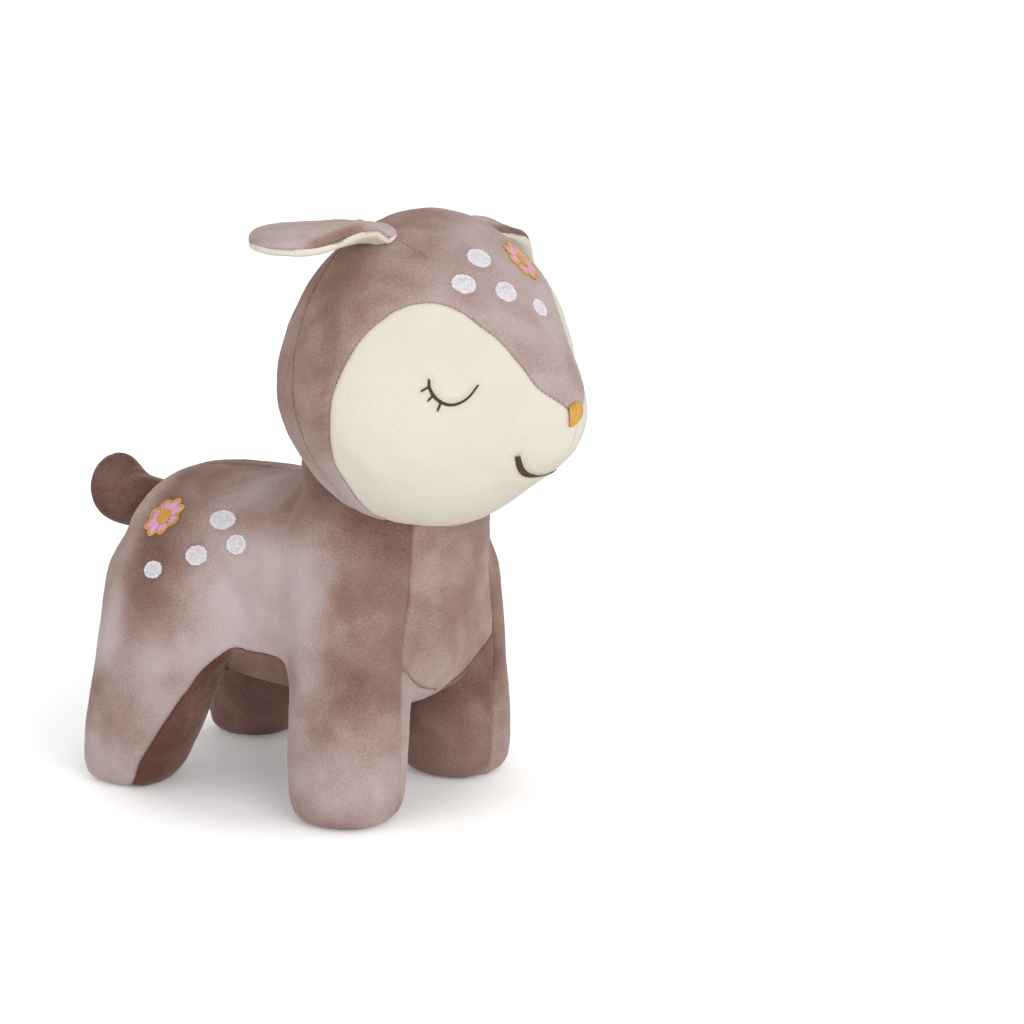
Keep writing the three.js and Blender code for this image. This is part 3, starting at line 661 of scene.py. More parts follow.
def mix(tree, share, a, b):
    """A share of the way from colour a to colour b."""
    return add_node(tree, "ShaderNodeMix", {"data_type": "RGBA"}, {0: share, 6: a, 7: b}).outputs[2]


def combined(tree, a, b, operation="ADD"):
    """Two values added, or put together by another operation."""
    return add_node(tree, "ShaderNodeMath", {"operation": operation}, {0: a, 1: b}).outputs[0]


def vector_math(tree, operation, *values):
    """What comes out of a vector operation: a vector and a value."""
    settings = {"operation": operation}
    return add_node(tree, "ShaderNodeVectorMath", settings, dict(enumerate(values))).outputs


def shades(tree, value, codes):
    """Colours spread evenly over the values 0 to 1."""
    node = add_node(tree, "ShaderNodeValToRGB", {}, {"Fac": value})
    ramp = node.color_ramp
    for k in range(1, len(codes) - 1):
        ramp.elements.new(k / (len(codes) - 1))
    for element, code in zip(ramp.elements, codes):
        element.color = colour(code)
    return node.outputs["Color"]


def object_place(tree):
    """Places on the piece itself, in metres."""
    return add_node(tree, "ShaderNodeTexCoord").outputs["Object"]


def point_value(tree, name):
    """The number that set_values gave to each point."""
    return add_node(tree, "ShaderNodeAttribute", {"attribute_name": name}).outputs["Fac"]


def relief(tree, height, strength, reach):
    """Fine relief of a surface, from a height and its reach in millimetres."""
    inputs = {"Height": height, "Strength": strength, "Distance": reach * MM}
    return add_node(tree, "ShaderNodeBump", inputs=inputs).outputs["Normal"]


# Sizes in the velour in millimetres: its cloudy patches, what bends them, its streaks, its grain and its pile
PATCH_SIZE = 38
BEND_SIZE = 30
BEND_REACH = 18
STREAK_SIZE = 14
GRAIN_SIZE = 0.8
PILE_SIZES = (0.55, 2.4)


def velour(name, codes, level, patchy, sheen, sheen_tint):
    """Short-pile velour. It looks pale where its pile leans to the light and dark where it leans away: by
    panel, from the attribute pile unless a level is given, which also carries painted light and painted
    shade, and in soft patches, streaks and a fine grain."""
    material, tree, shader = new_material(name)
    place = object_place(tree)
    inputs = {"Vector": place, "Scale": 1 / (BEND_SIZE * MM), "Detail": 1.0}
    warp = add_node(tree, "ShaderNodeTexNoise", inputs=inputs).outputs["Color"]
    bent = vector_math(tree, "MULTIPLY_ADD", warp, [BEND_REACH * MM] * 3, place)["Vector"]
    patches = spread(tree, noise(tree, bent, PATCH_SIZE), 0.3, 0.7, -0.5 * patchy, 0.5 * patchy)
    streaks = noise(tree, bent, STREAK_SIZE, 1.5)
    streaks = spread(tree, streaks, 0.25, 0.75, -0.22 * patchy, 0.22 * patchy)
    grain = spread(tree, noise(tree, place, GRAIN_SIZE, 3.0, 0.7), 0.28, 0.72, -0.14, 0.14)
    if level is None:
        level = point_value(tree, "pile")
    tone = combined(tree, combined(tree, patches, streaks), combined(tree, grain, level))
    inputs = {"Value": tone, "From Min": -0.5, "From Max": 1.5}
    tone = add_node(tree, "ShaderNodeMapRange", inputs=inputs).outputs[0]
    base = shades(tree, tone, codes)
    fine, coarse = PILE_SIZES
    pile = combined(tree, noise(tree, place, fine, 2.0, 0.7), noise(tree, place, coarse))
    set_inputs(tree, shader, {
        "Base Color": base, "Normal": relief(tree, pile, 0.5, 0.5), "Roughness": 0.95,
        "Specular IOR Level": 0.12, "Sheen Weight": sheen, "Sheen Roughness": 0.36,
        "Sheen Tint": colour(sheen_tint)})
    return material


def satin_thread(name, low, high, rough):
    """Embroidery floss: a silky twist with each strand a little lighter or darker than the next."""
    material, tree, shader = new_material(name)
    fibre = noise(tree, object_place(tree), 0.35)
    tone = combined(tree, point_value(tree, "shade"), combined(tree, fibre, 0.3, "MULTIPLY"))
    base = mix(tree, spread(tree, tone, 0.0, 1.2), colour(low), colour(high))
    set_inputs(tree, shader, {
        "Base Color": base, "Normal": relief(tree, fibre, 0.3, 0.1), "Roughness": rough,
        "Sheen Weight": 0.05})
    return material


def fibre_fill():
    """White polyester wadding, seen nowhere while the seams hold."""
    material, tree, shader = new_material("fibre_fill")
    tufts = noise(tree, object_place(tree), 3.0, 4.0)
    base = mix(tree, tufts, colour("#E6E5E1"), colour("#F7F7F5"))
    set_inputs(tree, shader, {"Base Color": base, "Roughness": 1.0, "Sheen Weight": 0.4})
    return material


# The taupe's tones from dark to pale. The painted shade and painted light in the attribute pile reach for its
# dark and pale ends.
TAUPE_SHADES = ["#4A3028", "#69493F", "#9A7D72", "#C2B0AD", "#D6CACC"]
TAUPE = velour("taupe_velour", TAUPE_SHADES, None, 0.32, 0.46, "#E8D2C6")
CREAM = velour("cream_velour", ["#CFC4B0", "#E9E2D2", "#F8F4EA"], 0.5, 0.16, 0.16, "#FFFDF6")
GOLD = satin_thread("gold_thread", "#B4781A", "#F0BE58", 0.3)
PINK = satin_thread("pink_thread", "#CF8FA8", "#EDB6CB", 0.42)
WHITE = satin_thread("white_thread", "#CBC3CB", "#F7F4F6", 0.42)
BROWN = satin_thread("brown_thread", "#30130D", "#58281B", 0.5)
SEAM = satin_thread("seam_thread", "#775A50", "#9C7E73", 0.6)
FILL = fibre_fill()


# Threads


# A thread's number of sides, and its levels between the ends and how thick it is at shares of its length
THREAD_SIDES = 6
THREAD_CUTS = (-0.42, -0.22, 0.0, 0.22, 0.42)
TAPER_PLACES = [0, 0.08, 0.28, 0.72, 0.92, 1]
TAPER = [0.35, 0.8, 1, 1, 0.8, 0.35]


class Thread:
    """One short round thread, modelled once and laid many times."""

    def __init__(self):
        bpy.ops.object.select_all(action="DESELECT")
        bpy.ops.mesh.primitive_cylinder_add(
            vertices=THREAD_SIDES, radius=0.5, depth=1.0, end_fill_type="NGON")
        model = bpy.context.object
        bpy.ops.object.mode_set(mode="EDIT")
        for level in THREAD_CUTS:
            bpy.ops.mesh.select_all(action="SELECT")
            bpy.ops.mesh.bisect(plane_co=(0, 0, level), plane_no=(0, 0, 1))
        bpy.ops.mesh.select_all(action="SELECT")
        bpy.ops.mesh.quads_convert_to_tris()
        bpy.ops.object.mode_set(mode="OBJECT")
        points, self.faces = taken_apart(model)
        self.levels = np.array([-0.5, *THREAD_CUTS, 0.5]) + 0.5
        self.ring = np.abs(points[:, 2][:, None] + 0.5 - self.levels).argmin(axis=1)
        self.wide = points[:, 0]
        self.high = points[:, 1]
        self.taper = np.interp(self.levels, TAPER_PLACES, TAPER)

    def lay(self, centres, alongs, normals, widths, heights):
        """Points and faces of one thread for each row of ring centres."""
        across = unit(np.cross(normals, alongs))
        wide = (widths * self.taper)[:, self.ring] * self.wide
        high = (heights * self.taper)[:, self.ring] * self.high
        points = centres[:, self.ring] + across[:, self.ring] * wide[:, :, None]
        points = points + normals[:, self.ring] * high[:, :, None]
        count = points.shape[1]
        faces = self.faces[None] + (np.arange(len(points)) * count)[:, None, None]
        return points.reshape(-1, 3), faces.reshape(-1, 3), count


THREAD = Thread()


class Patch:
    """A drawing plane that faces outward at a place of a form. Stitches drawn on it drop to the form."""

    def __init__(self, place, outward, distance):
        self.place = np.array(place, float)
        self.outward = unit(np.array(outward, float))
        self.right, self.up = plane_axes(self.outward)
        self.distance = distance

    def drop(self, flat, sink):
        """Places and outward normals on the form, sunk into it, under points of the plane."""
        points = self.place + flat[:, :1] * self.right + flat[:, 1:] * self.up
        for _ in range(6):
            gap = self.distance(points) + sink
            ahead = self.distance(points + self.outward * 0.3) + sink
            rate = np.clip((ahead - gap) / 0.3, 0.25, 2.0)
            points = points - self.outward * np.clip(gap / rate, -12, 12)[:, None]
        return points, unit(slope(self.distance, points))


class Embroidery:
    """Stitches of one colour on one patch."""

    def __init__(self, patch):
        self.patch = patch
        self.rows = []

    def add(self, start, end, thread, tone, lift=0.0, control=None, end_width=None):
        """One stitch between two places of the patch, bent towards a third if that is given."""
        width, height = thread
        control = control if control is not None else ((start[0] + end[0]) / 2, (start[1] + end[1]) / 2)
        self.rows.append((start, control, end, width, end_width or width, height, lift, tone))

    def lay(self, sink, seed):
        """Points and faces of all stitches, a shade for each point, and places where they press the cloth."""
        t = THREAD.levels[None, :, None]
        start, control, end = (np.array([row[k] for row in self.rows], float)[:, None] for k in range(3))
        flat = start * (1 - t)**2 + 2 * control * t * (1 - t) + end * t**2
        way = 2 * (control - start) * (1 - t) + 2 * (end - control) * t
        count, rings = flat.shape[:2]
        base, normal = self.patch.drop(flat.reshape(-1, 2), sink)
        base = base.reshape(count, rings, 3)
        normal = normal.reshape(count, rings, 3)
        along = way[:, :, :1] * self.patch.right + way[:, :, 1:] * self.patch.up
        values = np.array([row[3:] for row in self.rows], float)
        arch = np.sin(np.pi * np.clip(THREAD.levels, 0, 1))**0.6
        level = values[:, 3:4] * arch + values[:, 2:3] * (arch - 0.55)
        centres = base + normal * level[:, :, None]
        widths = lerp(values[:, 0:1], values[:, 1:2], THREAD.levels[None])
        heights = np.repeat(values[:, 2:3], rings, axis=1)
        points, faces, per_thread = THREAD.lay(centres, along, normal, widths, heights)
        random = np.random.RandomState(seed)
        tones = np.clip(values[:, 4] + random.normal(0, 0.13, count), 0, 1)
        return points, faces, np.repeat(tones, per_thread), base.reshape(-1, 3)


def embroidered(name, embroidery, node, material, sink=0.45):
    """One piece of embroidery that stands for a node of the part. Returns where it presses the cloth."""
    points, faces, shade, pressed = embroidery.lay(sink, 7)
    piece = new_piece(name, points, faces, material, "body")
    set_values(piece, "shade", shade)
    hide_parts(node)
    return pressed


# Stitch patterns, drawn in millimetres on a patch


# Widths and heights of the threads
RING_THREAD = (0.58, 0.48)
FILL_THREAD = (0.6, 0.38)
OUTLINE_THREAD = (0.54, 0.5)
PETAL_THREAD = (0.34, 0.4)
PETAL_END_WIDTH = 0.66
CENTRE_THREAD = (0.62, 0.5)
LINE_THREAD = (0.56, 0.5)
NOSE_THREAD = (0.8, 0.9)
NOSE_END_WIDTH = 0.5

# Distance between threads round a spot and across a line, width of a spot's ring and length of its stitches
RING_PITCH = 0.5
LINE_PITCH = 0.46
SPOT_RING = 1.0
SPOT_STITCH = 1.7


def around(half_width, half_height, pitch):
    """Angles spaced evenly along an ellipse."""
    fine = np.linspace(0, 2 * math.pi, 400)
    x = half_width * np.cos(fine)
    y = half_height * np.sin(fine)
    length = length_along(np.column_stack([x, y]))
    count = int(length[-1] / pitch)
    return np.interp(np.arange(count) * length[-1] / count, length, fine)


def spot_stitches(patch, half_width, half_height, seed):
    """A ragged satin ring round a fill of short stitches in rows, each row set off from the next."""
    random = np.random.RandomState(seed)
    spot = Embroidery(patch)
    for angle in around(half_width, half_height, RING_PITCH):
        outer = random.uniform(0.94, 1.05)
        swirl = angle + random.uniform(-0.04, 0.06)
        inset = SPOT_RING * random.uniform(0.85, 1.5)
        start = ((half_width - inset) * math.cos(swirl), (half_height - inset) * math.sin(swirl))
        end = (half_width * math.cos(angle) * outer, half_height * math.sin(angle) * outer)
        spot.add(start, end, RING_THREAD, random.uniform(0.5, 0.85), random.uniform(0.04, 0.14))
    wide = half_width - SPOT_RING * 0.7
    high = half_height - SPOT_RING * 0.7
    for y in np.arange(0.3 - high, high - 0.2, 0.5):
        reach = wide * math.sqrt(max(0.0, 1 - (y / high)**2))
        x = -reach - random.uniform(0, SPOT_STITCH)
        while x < reach:
            length = SPOT_STITCH * random.uniform(0.7, 1.3)
            start = max(x - 0.15, -reach)
            end = min(x + length + 0.15, reach)
            if end - start > 0.4:
                slip = random.uniform(-0.06, 0.06)
                tone = random.uniform(0.42, 0.6)
                spot.add((start, y + slip), (end, y - slip), FILL_THREAD, tone, -0.02)
            x += length
    return spot


# Sizes of the flower in millimetres, and the shares of its petals' shape
FLOWER = {"outline": 1.2, "centre": 3.9, "petals": 8, "notch": 0.2, "roundness": 1.7}
OUTLINE_STITCHES = 168
PETAL_STITCHES = 11
CENTRE_STITCHES = 14


def flower_reach(angle):
    """How far the flower reaches at an angle, as a share: pointed petals with notches between them."""
    turn = angle * FLOWER["petals"] / (2 * math.pi)
    beside = abs(2 * (turn - math.floor(turn)) - 1)
    return 1 - FLOWER["notch"] * beside**FLOWER["roundness"]


def flower_stitches(patch, long, short, tilt, seed):
    """Petals of radial stitches, a satin outline that follows their tips, and an oval centre."""
    random = np.random.RandomState(seed)
    outline = Embroidery(patch)
    petals = Embroidery(patch)
    centre = Embroidery(patch)
    c = math.cos(math.radians(tilt))
    s = math.sin(math.radians(tilt))

    def at(angle, reach, inset=0.0):
        """The place at an angle and a share of the flower's reach, less an inset."""
        u = (long * reach - inset) * math.cos(angle)
        v = (short * reach - inset) * math.sin(angle)
        return u * c - v * s, u * s + v * c

    for i in range(OUTLINE_STITCHES):
        angle = 2 * math.pi * i / OUTLINE_STITCHES
        reach = flower_reach(angle) * random.uniform(0.985, 1.015)
        start = at(angle, reach, FLOWER["outline"])
        outline.add(start, at(angle, reach), OUTLINE_THREAD, random.uniform(0.4, 0.7), 0.12)
    for k in range(FLOWER["petals"]):
        for j in range(PETAL_STITCHES):
            place = (j + 0.9) / (PETAL_STITCHES + 0.8)
            angle = 2 * math.pi * (k + place) / FLOWER["petals"]
            tone = random.uniform(0.2, 0.85)
            beside = abs(2 * place - 1)
            start = at(angle, 0.0, -0.9 * FLOWER["centre"])
            end = at(angle, flower_reach(angle), 0.7 * FLOWER["outline"] + 0.5 * beside**3)
            petals.add(start, end, PETAL_THREAD, tone, end_width=PETAL_END_WIDTH)
    for row in np.linspace(-0.93, 0.93, CENTRE_STITCHES):
        u = FLOWER["centre"] * 1.15 * math.sqrt(1 - row**2)
        v = FLOWER["centre"] * row
        ends = [(k * u * c - v * s, k * u * s + v * c) for k in (-1, 1)]
        centre.add(*ends, CENTRE_THREAD, random.uniform(0.3, 0.6), 0.35)
    return outline, petals, centre


def line_stitches(embroidery, points, widths, slant=0.35):
    """Short stitches side by side across a line, with a width for each point of it."""
    points = np.array(points, float)
    length = length_along(points)
    for at in np.arange(0, length[-1], LINE_PITCH):
        centre = between(at, length, points)
        way = unit(between(at + 0.4, length, points) - between(at - 0.4, length, points))
        width = np.interp(at, length, widths)
        across = np.array([-way[1], way[0]]) + way * slant
        half = unit(across) * width / 2
        embroidery.add(centre - half, centre + half, LINE_THREAD, 0.5, 0.1)


# The right eye's line from its outer end, and its lashes, from the middle of the eye
EYE_LINE = [
    (-9.9, 6.8), (-9.8, 3.2), (-8.1, -0.3), (-5.1, -3.1), (-1.0, -4.7), (3.6, -4.2), (7.9, -1.9), (12.6, 3.0)]
EYE_WIDTHS = [1.1, 1.5, 1.7, 1.6, 1.4, 1.2, 1.0, 0.8]
LASH_WIDTHS = [1.15, 1.15, 1.1, 1.05, 0.9]
LASHES = [((-9.9, 3.9), (-13.6, 2.0)), ((-8.0, 0.2), (-11.1, -2.5)), ((-4.9, -3.0), (-6.6, -7.0))]


def eye_stitches(patch, side):
    """A closed, smiling eye: a bowl-shaped line, thicker towards the outer end, with three lashes there."""
    eye = Embroidery(patch)
    line = open_curve(EYE_LINE) * (-side, 1)
    place = np.linspace(0, 1, len(line))
    line_stitches(eye, line, np.interp(place, np.linspace(0, 1, len(EYE_WIDTHS)), EYE_WIDTHS))
    for start, end in LASHES:
        lash = np.linspace(start, end, len(LASH_WIDTHS)) * (-side, 1)
        line_stitches(eye, lash, LASH_WIDTHS, slant=0.6)
    return eye


# The mouth's bow in millimetres, and its widths at shares of its length from the right cheek on
MOUTH = {"half_span": 23.0, "sag": 11.7, "squareness": 3.7}
MOUTH_PLACES = [0, 0.09, 0.23, 0.31, 0.36, 0.41, 1]
MOUTH_WIDTHS = [1.8, 2.0, 2.0, 1.5, 0.6, 0.25, 0.25]


def mouth_stitches(patch):
    """A bowl-shaped smile, thick at the right cheek and a thin line from the middle on."""
    mouth = Embroidery(patch)
    places = np.linspace(-1, 1, 120)
    bow = np.abs(places)**MOUTH["squareness"]
    line = np.column_stack([places * MOUTH["half_span"], (bow - 1) * MOUTH["sag"]])
    length = length_along(line)
    line_stitches(mouth, line, np.interp(length / length[-1], MOUTH_PLACES, MOUTH_WIDTHS))
    return mouth


# The nose's left and right edge from its top down, from its middle
NOSE_LEFT = [(-3.3, 3.4), (-4.4, -1.0), (-3.4, -6.0)]
NOSE_RIGHT = [(5.6, 3.2), (5.4, -1.6), (-2.6, -6.2)]
NOSE_CROWN = 1.7
NOSE_STRANDS = 17


def nose_stitches(patch):
    """Thick silky strands side by side that draw together at one point, a little right of the middle."""
    nose = Embroidery(patch)
    for i in range(NOSE_STRANDS):
        share = i / (NOSE_STRANDS - 1)
        start, control, end = (lerp(np.array(a), np.array(b), share) for a, b in zip(NOSE_LEFT, NOSE_RIGHT))
        start = start + (0, NOSE_CROWN * (1 - (2 * share - 1)**2))
        # Strands go dark, pale and middle in turn, partly the floss's own tone and partly painted glints
        tone = (0.25, 0.75, 0.5)[i % 3]
        nose.add(start, end, NOSE_THREAD, tone, 0.3, control, NOSE_END_WIDTH)
    return nose


# The head


# The right cheek's seam as directions from the head's centre, and the middle of the plane it is drawn on
CHEEK_LOOP = [
    (-5, -5.5), (-9.4, -2.9), (-15.4, 2.7), (-18.9, 10.8), (-23.6, 18.6), (-31.6, 25.4), (-38.4, 30.9),
    (-46.6, 34.3), (-54.9, 35), (-65.8, 32.3), (-72.3, 27), (-78.8, 18.9), (-83.2, 10.1), (-85.8, 1.6),
    (-86.9, -6.9), (-87.7, -14.8), (-87.9, -22.8), (-87, -29.7), (-86.5, -38), (-86, -44), (-82, -52),
    (-68, -61), (-35, -67), (0, -68), (0, -52), (0, -38), (0, -25), (0, -13), (-0.5, -9.5), (-2.2, -7.2)]
CHEEK_MIDDLE = (-48, -6)

# The seam in front of the back panels: how far back, by height, as shares of the head's half sizes
BACK_SEAM = [
    (0.3, 1.3), (0.3, 1), (0.37, 0.76), (0.4, 0.6), (0.39, 0.4), (0.365, 0.2), (0.345, 0.05), (0.3, -0.1),
    (0.26, -0.22), (0.2, -0.4), (0.14, -0.6), (0.1, -0.9), (0.1, -1.3)]


def flattened(d):
    """Directions drawn on a plane round the cheek's middle."""
    middle = directions([CHEEK_MIDDLE])[0]
    right, up = plane_axes(middle)
    scale = 1 / (1 + d @ middle + 1e-6)
    return np.column_stack([d @ right * scale, d @ up * scale])


def inside_loop(points, loop):
    """Whether each point of a plane is inside a closed line."""
    inside = np.zeros(len(points), bool)
    x, y = points.T
    for (x1, y1), (x2, y2) in zip(loop, np.roll(loop, -1, axis=0)):
        crosses = (y1 > y) != (y2 > y)
        rise = y2 - y1 if y2 != y1 else 1e-12
        inside ^= crosses & (x < (x2 - x1) * (y - y1) / rise + x1)
    return inside


CROWN, CHEEK_RIGHT, CHEEK_LEFT, BACK_RIGHT, BACK_LEFT = range(5)


def head_labels(points):
    """The panel that each point of the head belongs to."""
    offset = points - HEAD_CENTRE
    folded = unit(offset)
    folded[:, 0] = -np.abs(folded[:, 0])
    in_cheek = inside_loop(flattened(folded), closed_curve(flattened(directions(CHEEK_LOOP))))
    table = smooth_table([(-up, back) for back, up in BACK_SEAM])
    seam = np.interp(-offset[:, 2] / HEAD_HALF_HEIGHT, table[:, 0], table[:, 1]) * HEAD_HALF_BACK
    behind = offset[:, 1] > seam
    right = offset[:, 0] < 0
    labels = np.full(len(points), CROWN)
    labels[behind] = np.where(right[behind], BACK_RIGHT, BACK_LEFT)
    cheek = in_cheek & ~behind
    labels[cheek] = np.where(right[cheek], CHEEK_RIGHT, CHEEK_LEFT)
    return labels


def icosphere(subdivisions):
    """Unit directions and faces of an even sphere."""
    bpy.ops.object.select_all(action="DESELECT")
    bpy.ops.mesh.primitive_ico_sphere_add(subdivisions=subdivisions, radius=1.0)
    points, faces = taken_apart(bpy.context.object)
    return unit(points), faces


# Where the head's embroidery sits: directions for the spots and the flower, and for the face millimetres on
# the front, from the head's centre. Each spot has its half width and half height.
HEAD_SPOTS = [
    ((-18.6, 55), 6.3, 5.2), ((-35.8, 43.8), 6.0, 4.8), ((-12, 39.5), 6.0, 5.0), ((6.5, 30.3), 5.2, 4.4)]
HEAD_FLOWER = {"place": (24.6, 49.7), "long": 11.4, "short": 10.6, "tilt": -40}
EYE_PLACE = (50.5, 2.7)
MOUTH_LEVEL = -27.8
NOSE_PLACE = (-2.6, -10.0)


def head_front(x, z):
    """The place on the head's front at that x and height above its centre."""
    patch = Patch((x, HEAD_CENTRE[1] - 90, HEAD_CENTRE[2] + z), (0, -1, 0), head_distance)
    return patch.drop(np.zeros((1, 2)), 0)[0][0]


def head_patch(direction):
    """A drawing plane on the head in a direction given by azimuth and elevation."""
    return Patch(head_surface([direction])[0], directions([direction])[0], head_distance)


def spot_pieces(where, patch_at, spots, seed):
    """The spots of the head or the flank. Returns where they press the cloth."""
    pressed = []
    for k, (place, half_width, half_height) in enumerate(spots):
        spot = spot_stitches(patch_at(place), half_width, half_height, seed + k)
        node = f"{where}_spot_{k + 1}"
        pressed.append(embroidered(f"{node}_stitches", spot, node, WHITE))
    return pressed


def flower_pieces(where, patch_at, flower, seed):
    """The flower of the head or the flank. Returns where it presses the cloth."""
    patch = patch_at(flower["place"])
    outline, petals, centre = flower_stitches(patch, flower["long"], flower["short"], flower["tilt"], seed)
    pieces = (("outline", outline, GOLD, "gold_thread"), ("petals", petals, PINK, "pink_thread"),
              ("centre", centre, GOLD, "gold_thread"))
    pressed = []
    for name, stitches, material, slot in pieces:
        node = f"{where}_flower_{name}"
        pressed.append(embroidered(f"{node}_stitches", stitches, node, material))
    return pressed


def head_embroidery():
    """All stitches of the head. Returns where they press the cloth."""
    nose = nose_stitches(Patch(head_front(*NOSE_PLACE), (0, -1, 0), head_distance))
    pressed = [embroidered("nose_strands", nose, "nose_embroidery", GOLD, 0.2)]
    for name, side in SIDES.items():
        place = head_front(side * EYE_PLACE[0], EYE_PLACE[1])
        eye = eye_stitches(Patch(place, slope(head_distance, place[None])[0], head_distance), side)
        node = f"eye_{name}"
        pressed.append(embroidered(f"{node}_stitches", eye, node, BROWN, 0.3))
    mouth = mouth_stitches(Patch(head_front(0, MOUTH_LEVEL), (0, -1, 0), head_distance))
    pressed.append(embroidered("mouth_stitches", mouth, "mouth_embroidery", BROWN, 0.3))
    pressed += spot_pieces("head", head_patch, HEAD_SPOTS, 20)
    pressed += flower_pieces("head", head_patch, HEAD_FLOWER, 31)
    return np.vstack(pressed)


# The unevenness of stuffed cloth as heights and sizes of its bumps, and how deep embroidery presses it
CLOTH_RIPPLES = [(0.35, 26), (0.12, 7), (0.05, 2.6)]
PRESS_DEPTH = 0.75


def press_cloth(panels, places):
    """Dents the cloth under and just beside the embroidery."""
    gap = nearest(panels.points, places)
    panels.press(-PRESS_DEPTH * (1 - smooth_step(gap, 1.1, 2.6)))


def nap(panels, places, seed):
    """The slight unevenness of stuffed cloth, away from the embroidery, whose backing holds it flat."""
    points = panels.smooth_points
    panels.press(uneven(points, CLOTH_RIPPLES, seed) * smooth_step(nearest(points, places), 1.0, 9.0))


def covers(panels, names, pile):
    """The panels as separate pieces, each standing for the part's node of its name."""
    for label, (node, material, slot) in names.items():
        points, faces = panels.cut(label)
        piece = new_piece(f"{node}_cover", points, faces, material, "body")
        if material is TAUPE:
            set_values(piece, "pile", pile(points, label))
        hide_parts(node)


HEAD_PIECES = {
    CROWN: ("crown_panel", TAUPE, "taupe_velour"),
    CHEEK_RIGHT: ("cheek_panel_right", CREAM, "cream_velour"),
    CHEEK_LEFT: ("cheek_panel_left", CREAM, "cream_velour"),
    BACK_RIGHT: ("head_back_panel_right", TAUPE, "taupe_velour"),
    BACK_LEFT: ("head_back_panel_left", TAUPE, "taupe_velour")}


def head_pile_and_painted_light(points, _):
    """The taupe panels of the head are pale from the front, partly the pile's lean and partly painted light
    where the front faces the lamp, and pale towards the underside, partly a painted sheen.
    """
    forward = (HEAD_CENTRE[1] - points[:, 1]) / HEAD_HALF_FRONT
    below = (HEAD_CENTRE[2] - points[:, 2]) / HEAD_HALF_HEIGHT
    return 0.44 + 0.48 * smooth_step(forward, -0.15, 0.7) + 0.55 * smooth_step(below, 0.05, 0.55)


# Darts in the crown at the front corners of the ears, as directions
DART = [(-76, 62.5), (-66, 59.5), (-55, 55)]
DART_DEPTH = 1.3
DART_WIDTH = 1.7


def dart_lines():
    """Both darts as lines on the head."""
    return [head_surface(open_curve(DART, 30) * (side, 1)) for side in (1, -1)]


def head_ball(subdivisions):
    """Points and faces of the head's form."""
    d, faces = icosphere(subdivisions)
    return HEAD_CENTRE + d * head_reach(d)[:, None], faces


def make_head(subdivisions):
    """The head's panels with their darts and embroidery."""
    points, faces = head_ball(subdivisions)
    panels = Panels(points, faces, head_labels(points), head_distance)
    pressed = head_embroidery()
    nap(panels, pressed, 3)
    press_cloth(panels, pressed)
    gap = nearest(panels.points, np.vstack(dart_lines()))
    panels.press(-DART_DEPTH * np.exp(-(gap / DART_WIDTH)**2))
    panels.shape(0.95, 2.6, 5)
    covers(panels, HEAD_PIECES, head_pile_and_painted_light)
    return panels


# The body


def grown_together(lofts, voxel):
    """One closed surface round overlapping forms."""
    model = new_object("grown", new_mesh("grown", *joined([loft.mesh() for loft in lofts])))
    remesh = model.modifiers.new("remesh", "REMESH")
    remesh.mode = "VOXEL"
    remesh.voxel_size = voxel * MM
    bpy.ops.object.select_all(action="DESELECT")
    bpy.context.view_layer.objects.active = model
    model.select_set(True)
    bpy.ops.object.modifier_apply(modifier=remesh.name)
    points, faces = taken_apart(model)
    return points / MM, faces


SIDE_RIGHT, SIDE_LEFT, CHEST_BELLY = range(3)
INNER_FRONT_RIGHT, INNER_FRONT_LEFT, INNER_HIND_RIGHT, INNER_HIND_LEFT = range(3, 7)

# How far from the middle the side panels start, by height: at the chest, and in front of and behind the hind
# legs. Along the belly it is the same at every height.
FRONT_SEAM = [(0, 38), (60, 38), (85, 36), (104, 32.5), (140, 32), (175, 32)]
HIND_FRONT_SEAM = [(0, 66.5), (17, 66.8), (34, 63.8), (52, 56.8), (60, 53), (69, 49), (90, 47)]
HIND_BACK_SEAM = [(0, 54), (30, 50), (60, 38), (80, 26), (98, 0)]
BELLY_SEAM = 46.0

# Where the chest ends and the belly begins, where the front half ends, how high the belly panel and the inner
# leg panels reach, and how far off the torso a leg begins
CHEST_BACK = -45
FRONT_BACK = 12
BELLY_TOP = 99
LEG_PANEL_TOP = 75
LEG_BEGINS = 1.5


def middle_half_width(points):
    """How far from the middle the side panels start at the points' heights and lengths."""
    y = points[:, 1]
    z = points[:, 2]
    front, hind_front, hind_back = (
        np.interp(z, *np.array(table).T) for table in (FRONT_SEAM, HIND_FRONT_SEAM, HIND_BACK_SEAM))
    limit = lerp(front, BELLY_SEAM, smooth_step(y, CHEST_BACK, -15))
    limit = lerp(limit, hind_front, smooth_step(y, 15, 32))
    return lerp(limit, hind_back, smooth_step(y, 62, 84))


def body_labels(points):
    """The panel that each point of the body belongs to."""
    x, y, z = points.T
    wide = np.abs(x)
    middle = (wide < middle_half_width(points)) & ((y < CHEST_BACK) | (z < BELLY_TOP))
    leg = (torso_distance(points) > LEG_BEGINS) & (z < LEG_PANEL_TOP)
    under_chest = (y < CHEST_BACK) & (z < 54 + 19 * (wide / 37)**2) & (wide > 4.5)
    behind_belly = y > 31 + 8 * (1 - (wide / BELLY_SEAM)**2)
    right = x < 0
    labels = np.where(right, SIDE_RIGHT, SIDE_LEFT)
    labels[middle] = CHEST_BELLY
    front = middle & (y < FRONT_BACK) & (under_chest | (leg & (y >= CHEST_BACK)))
    hind = middle & (y >= FRONT_BACK) & (leg | behind_belly)
    labels[front] = np.where(right, INNER_FRONT_RIGHT, INNER_FRONT_LEFT)[front]
    labels[hind] = np.where(right, INNER_HIND_RIGHT, INNER_HIND_LEFT)[hind]
    return labels


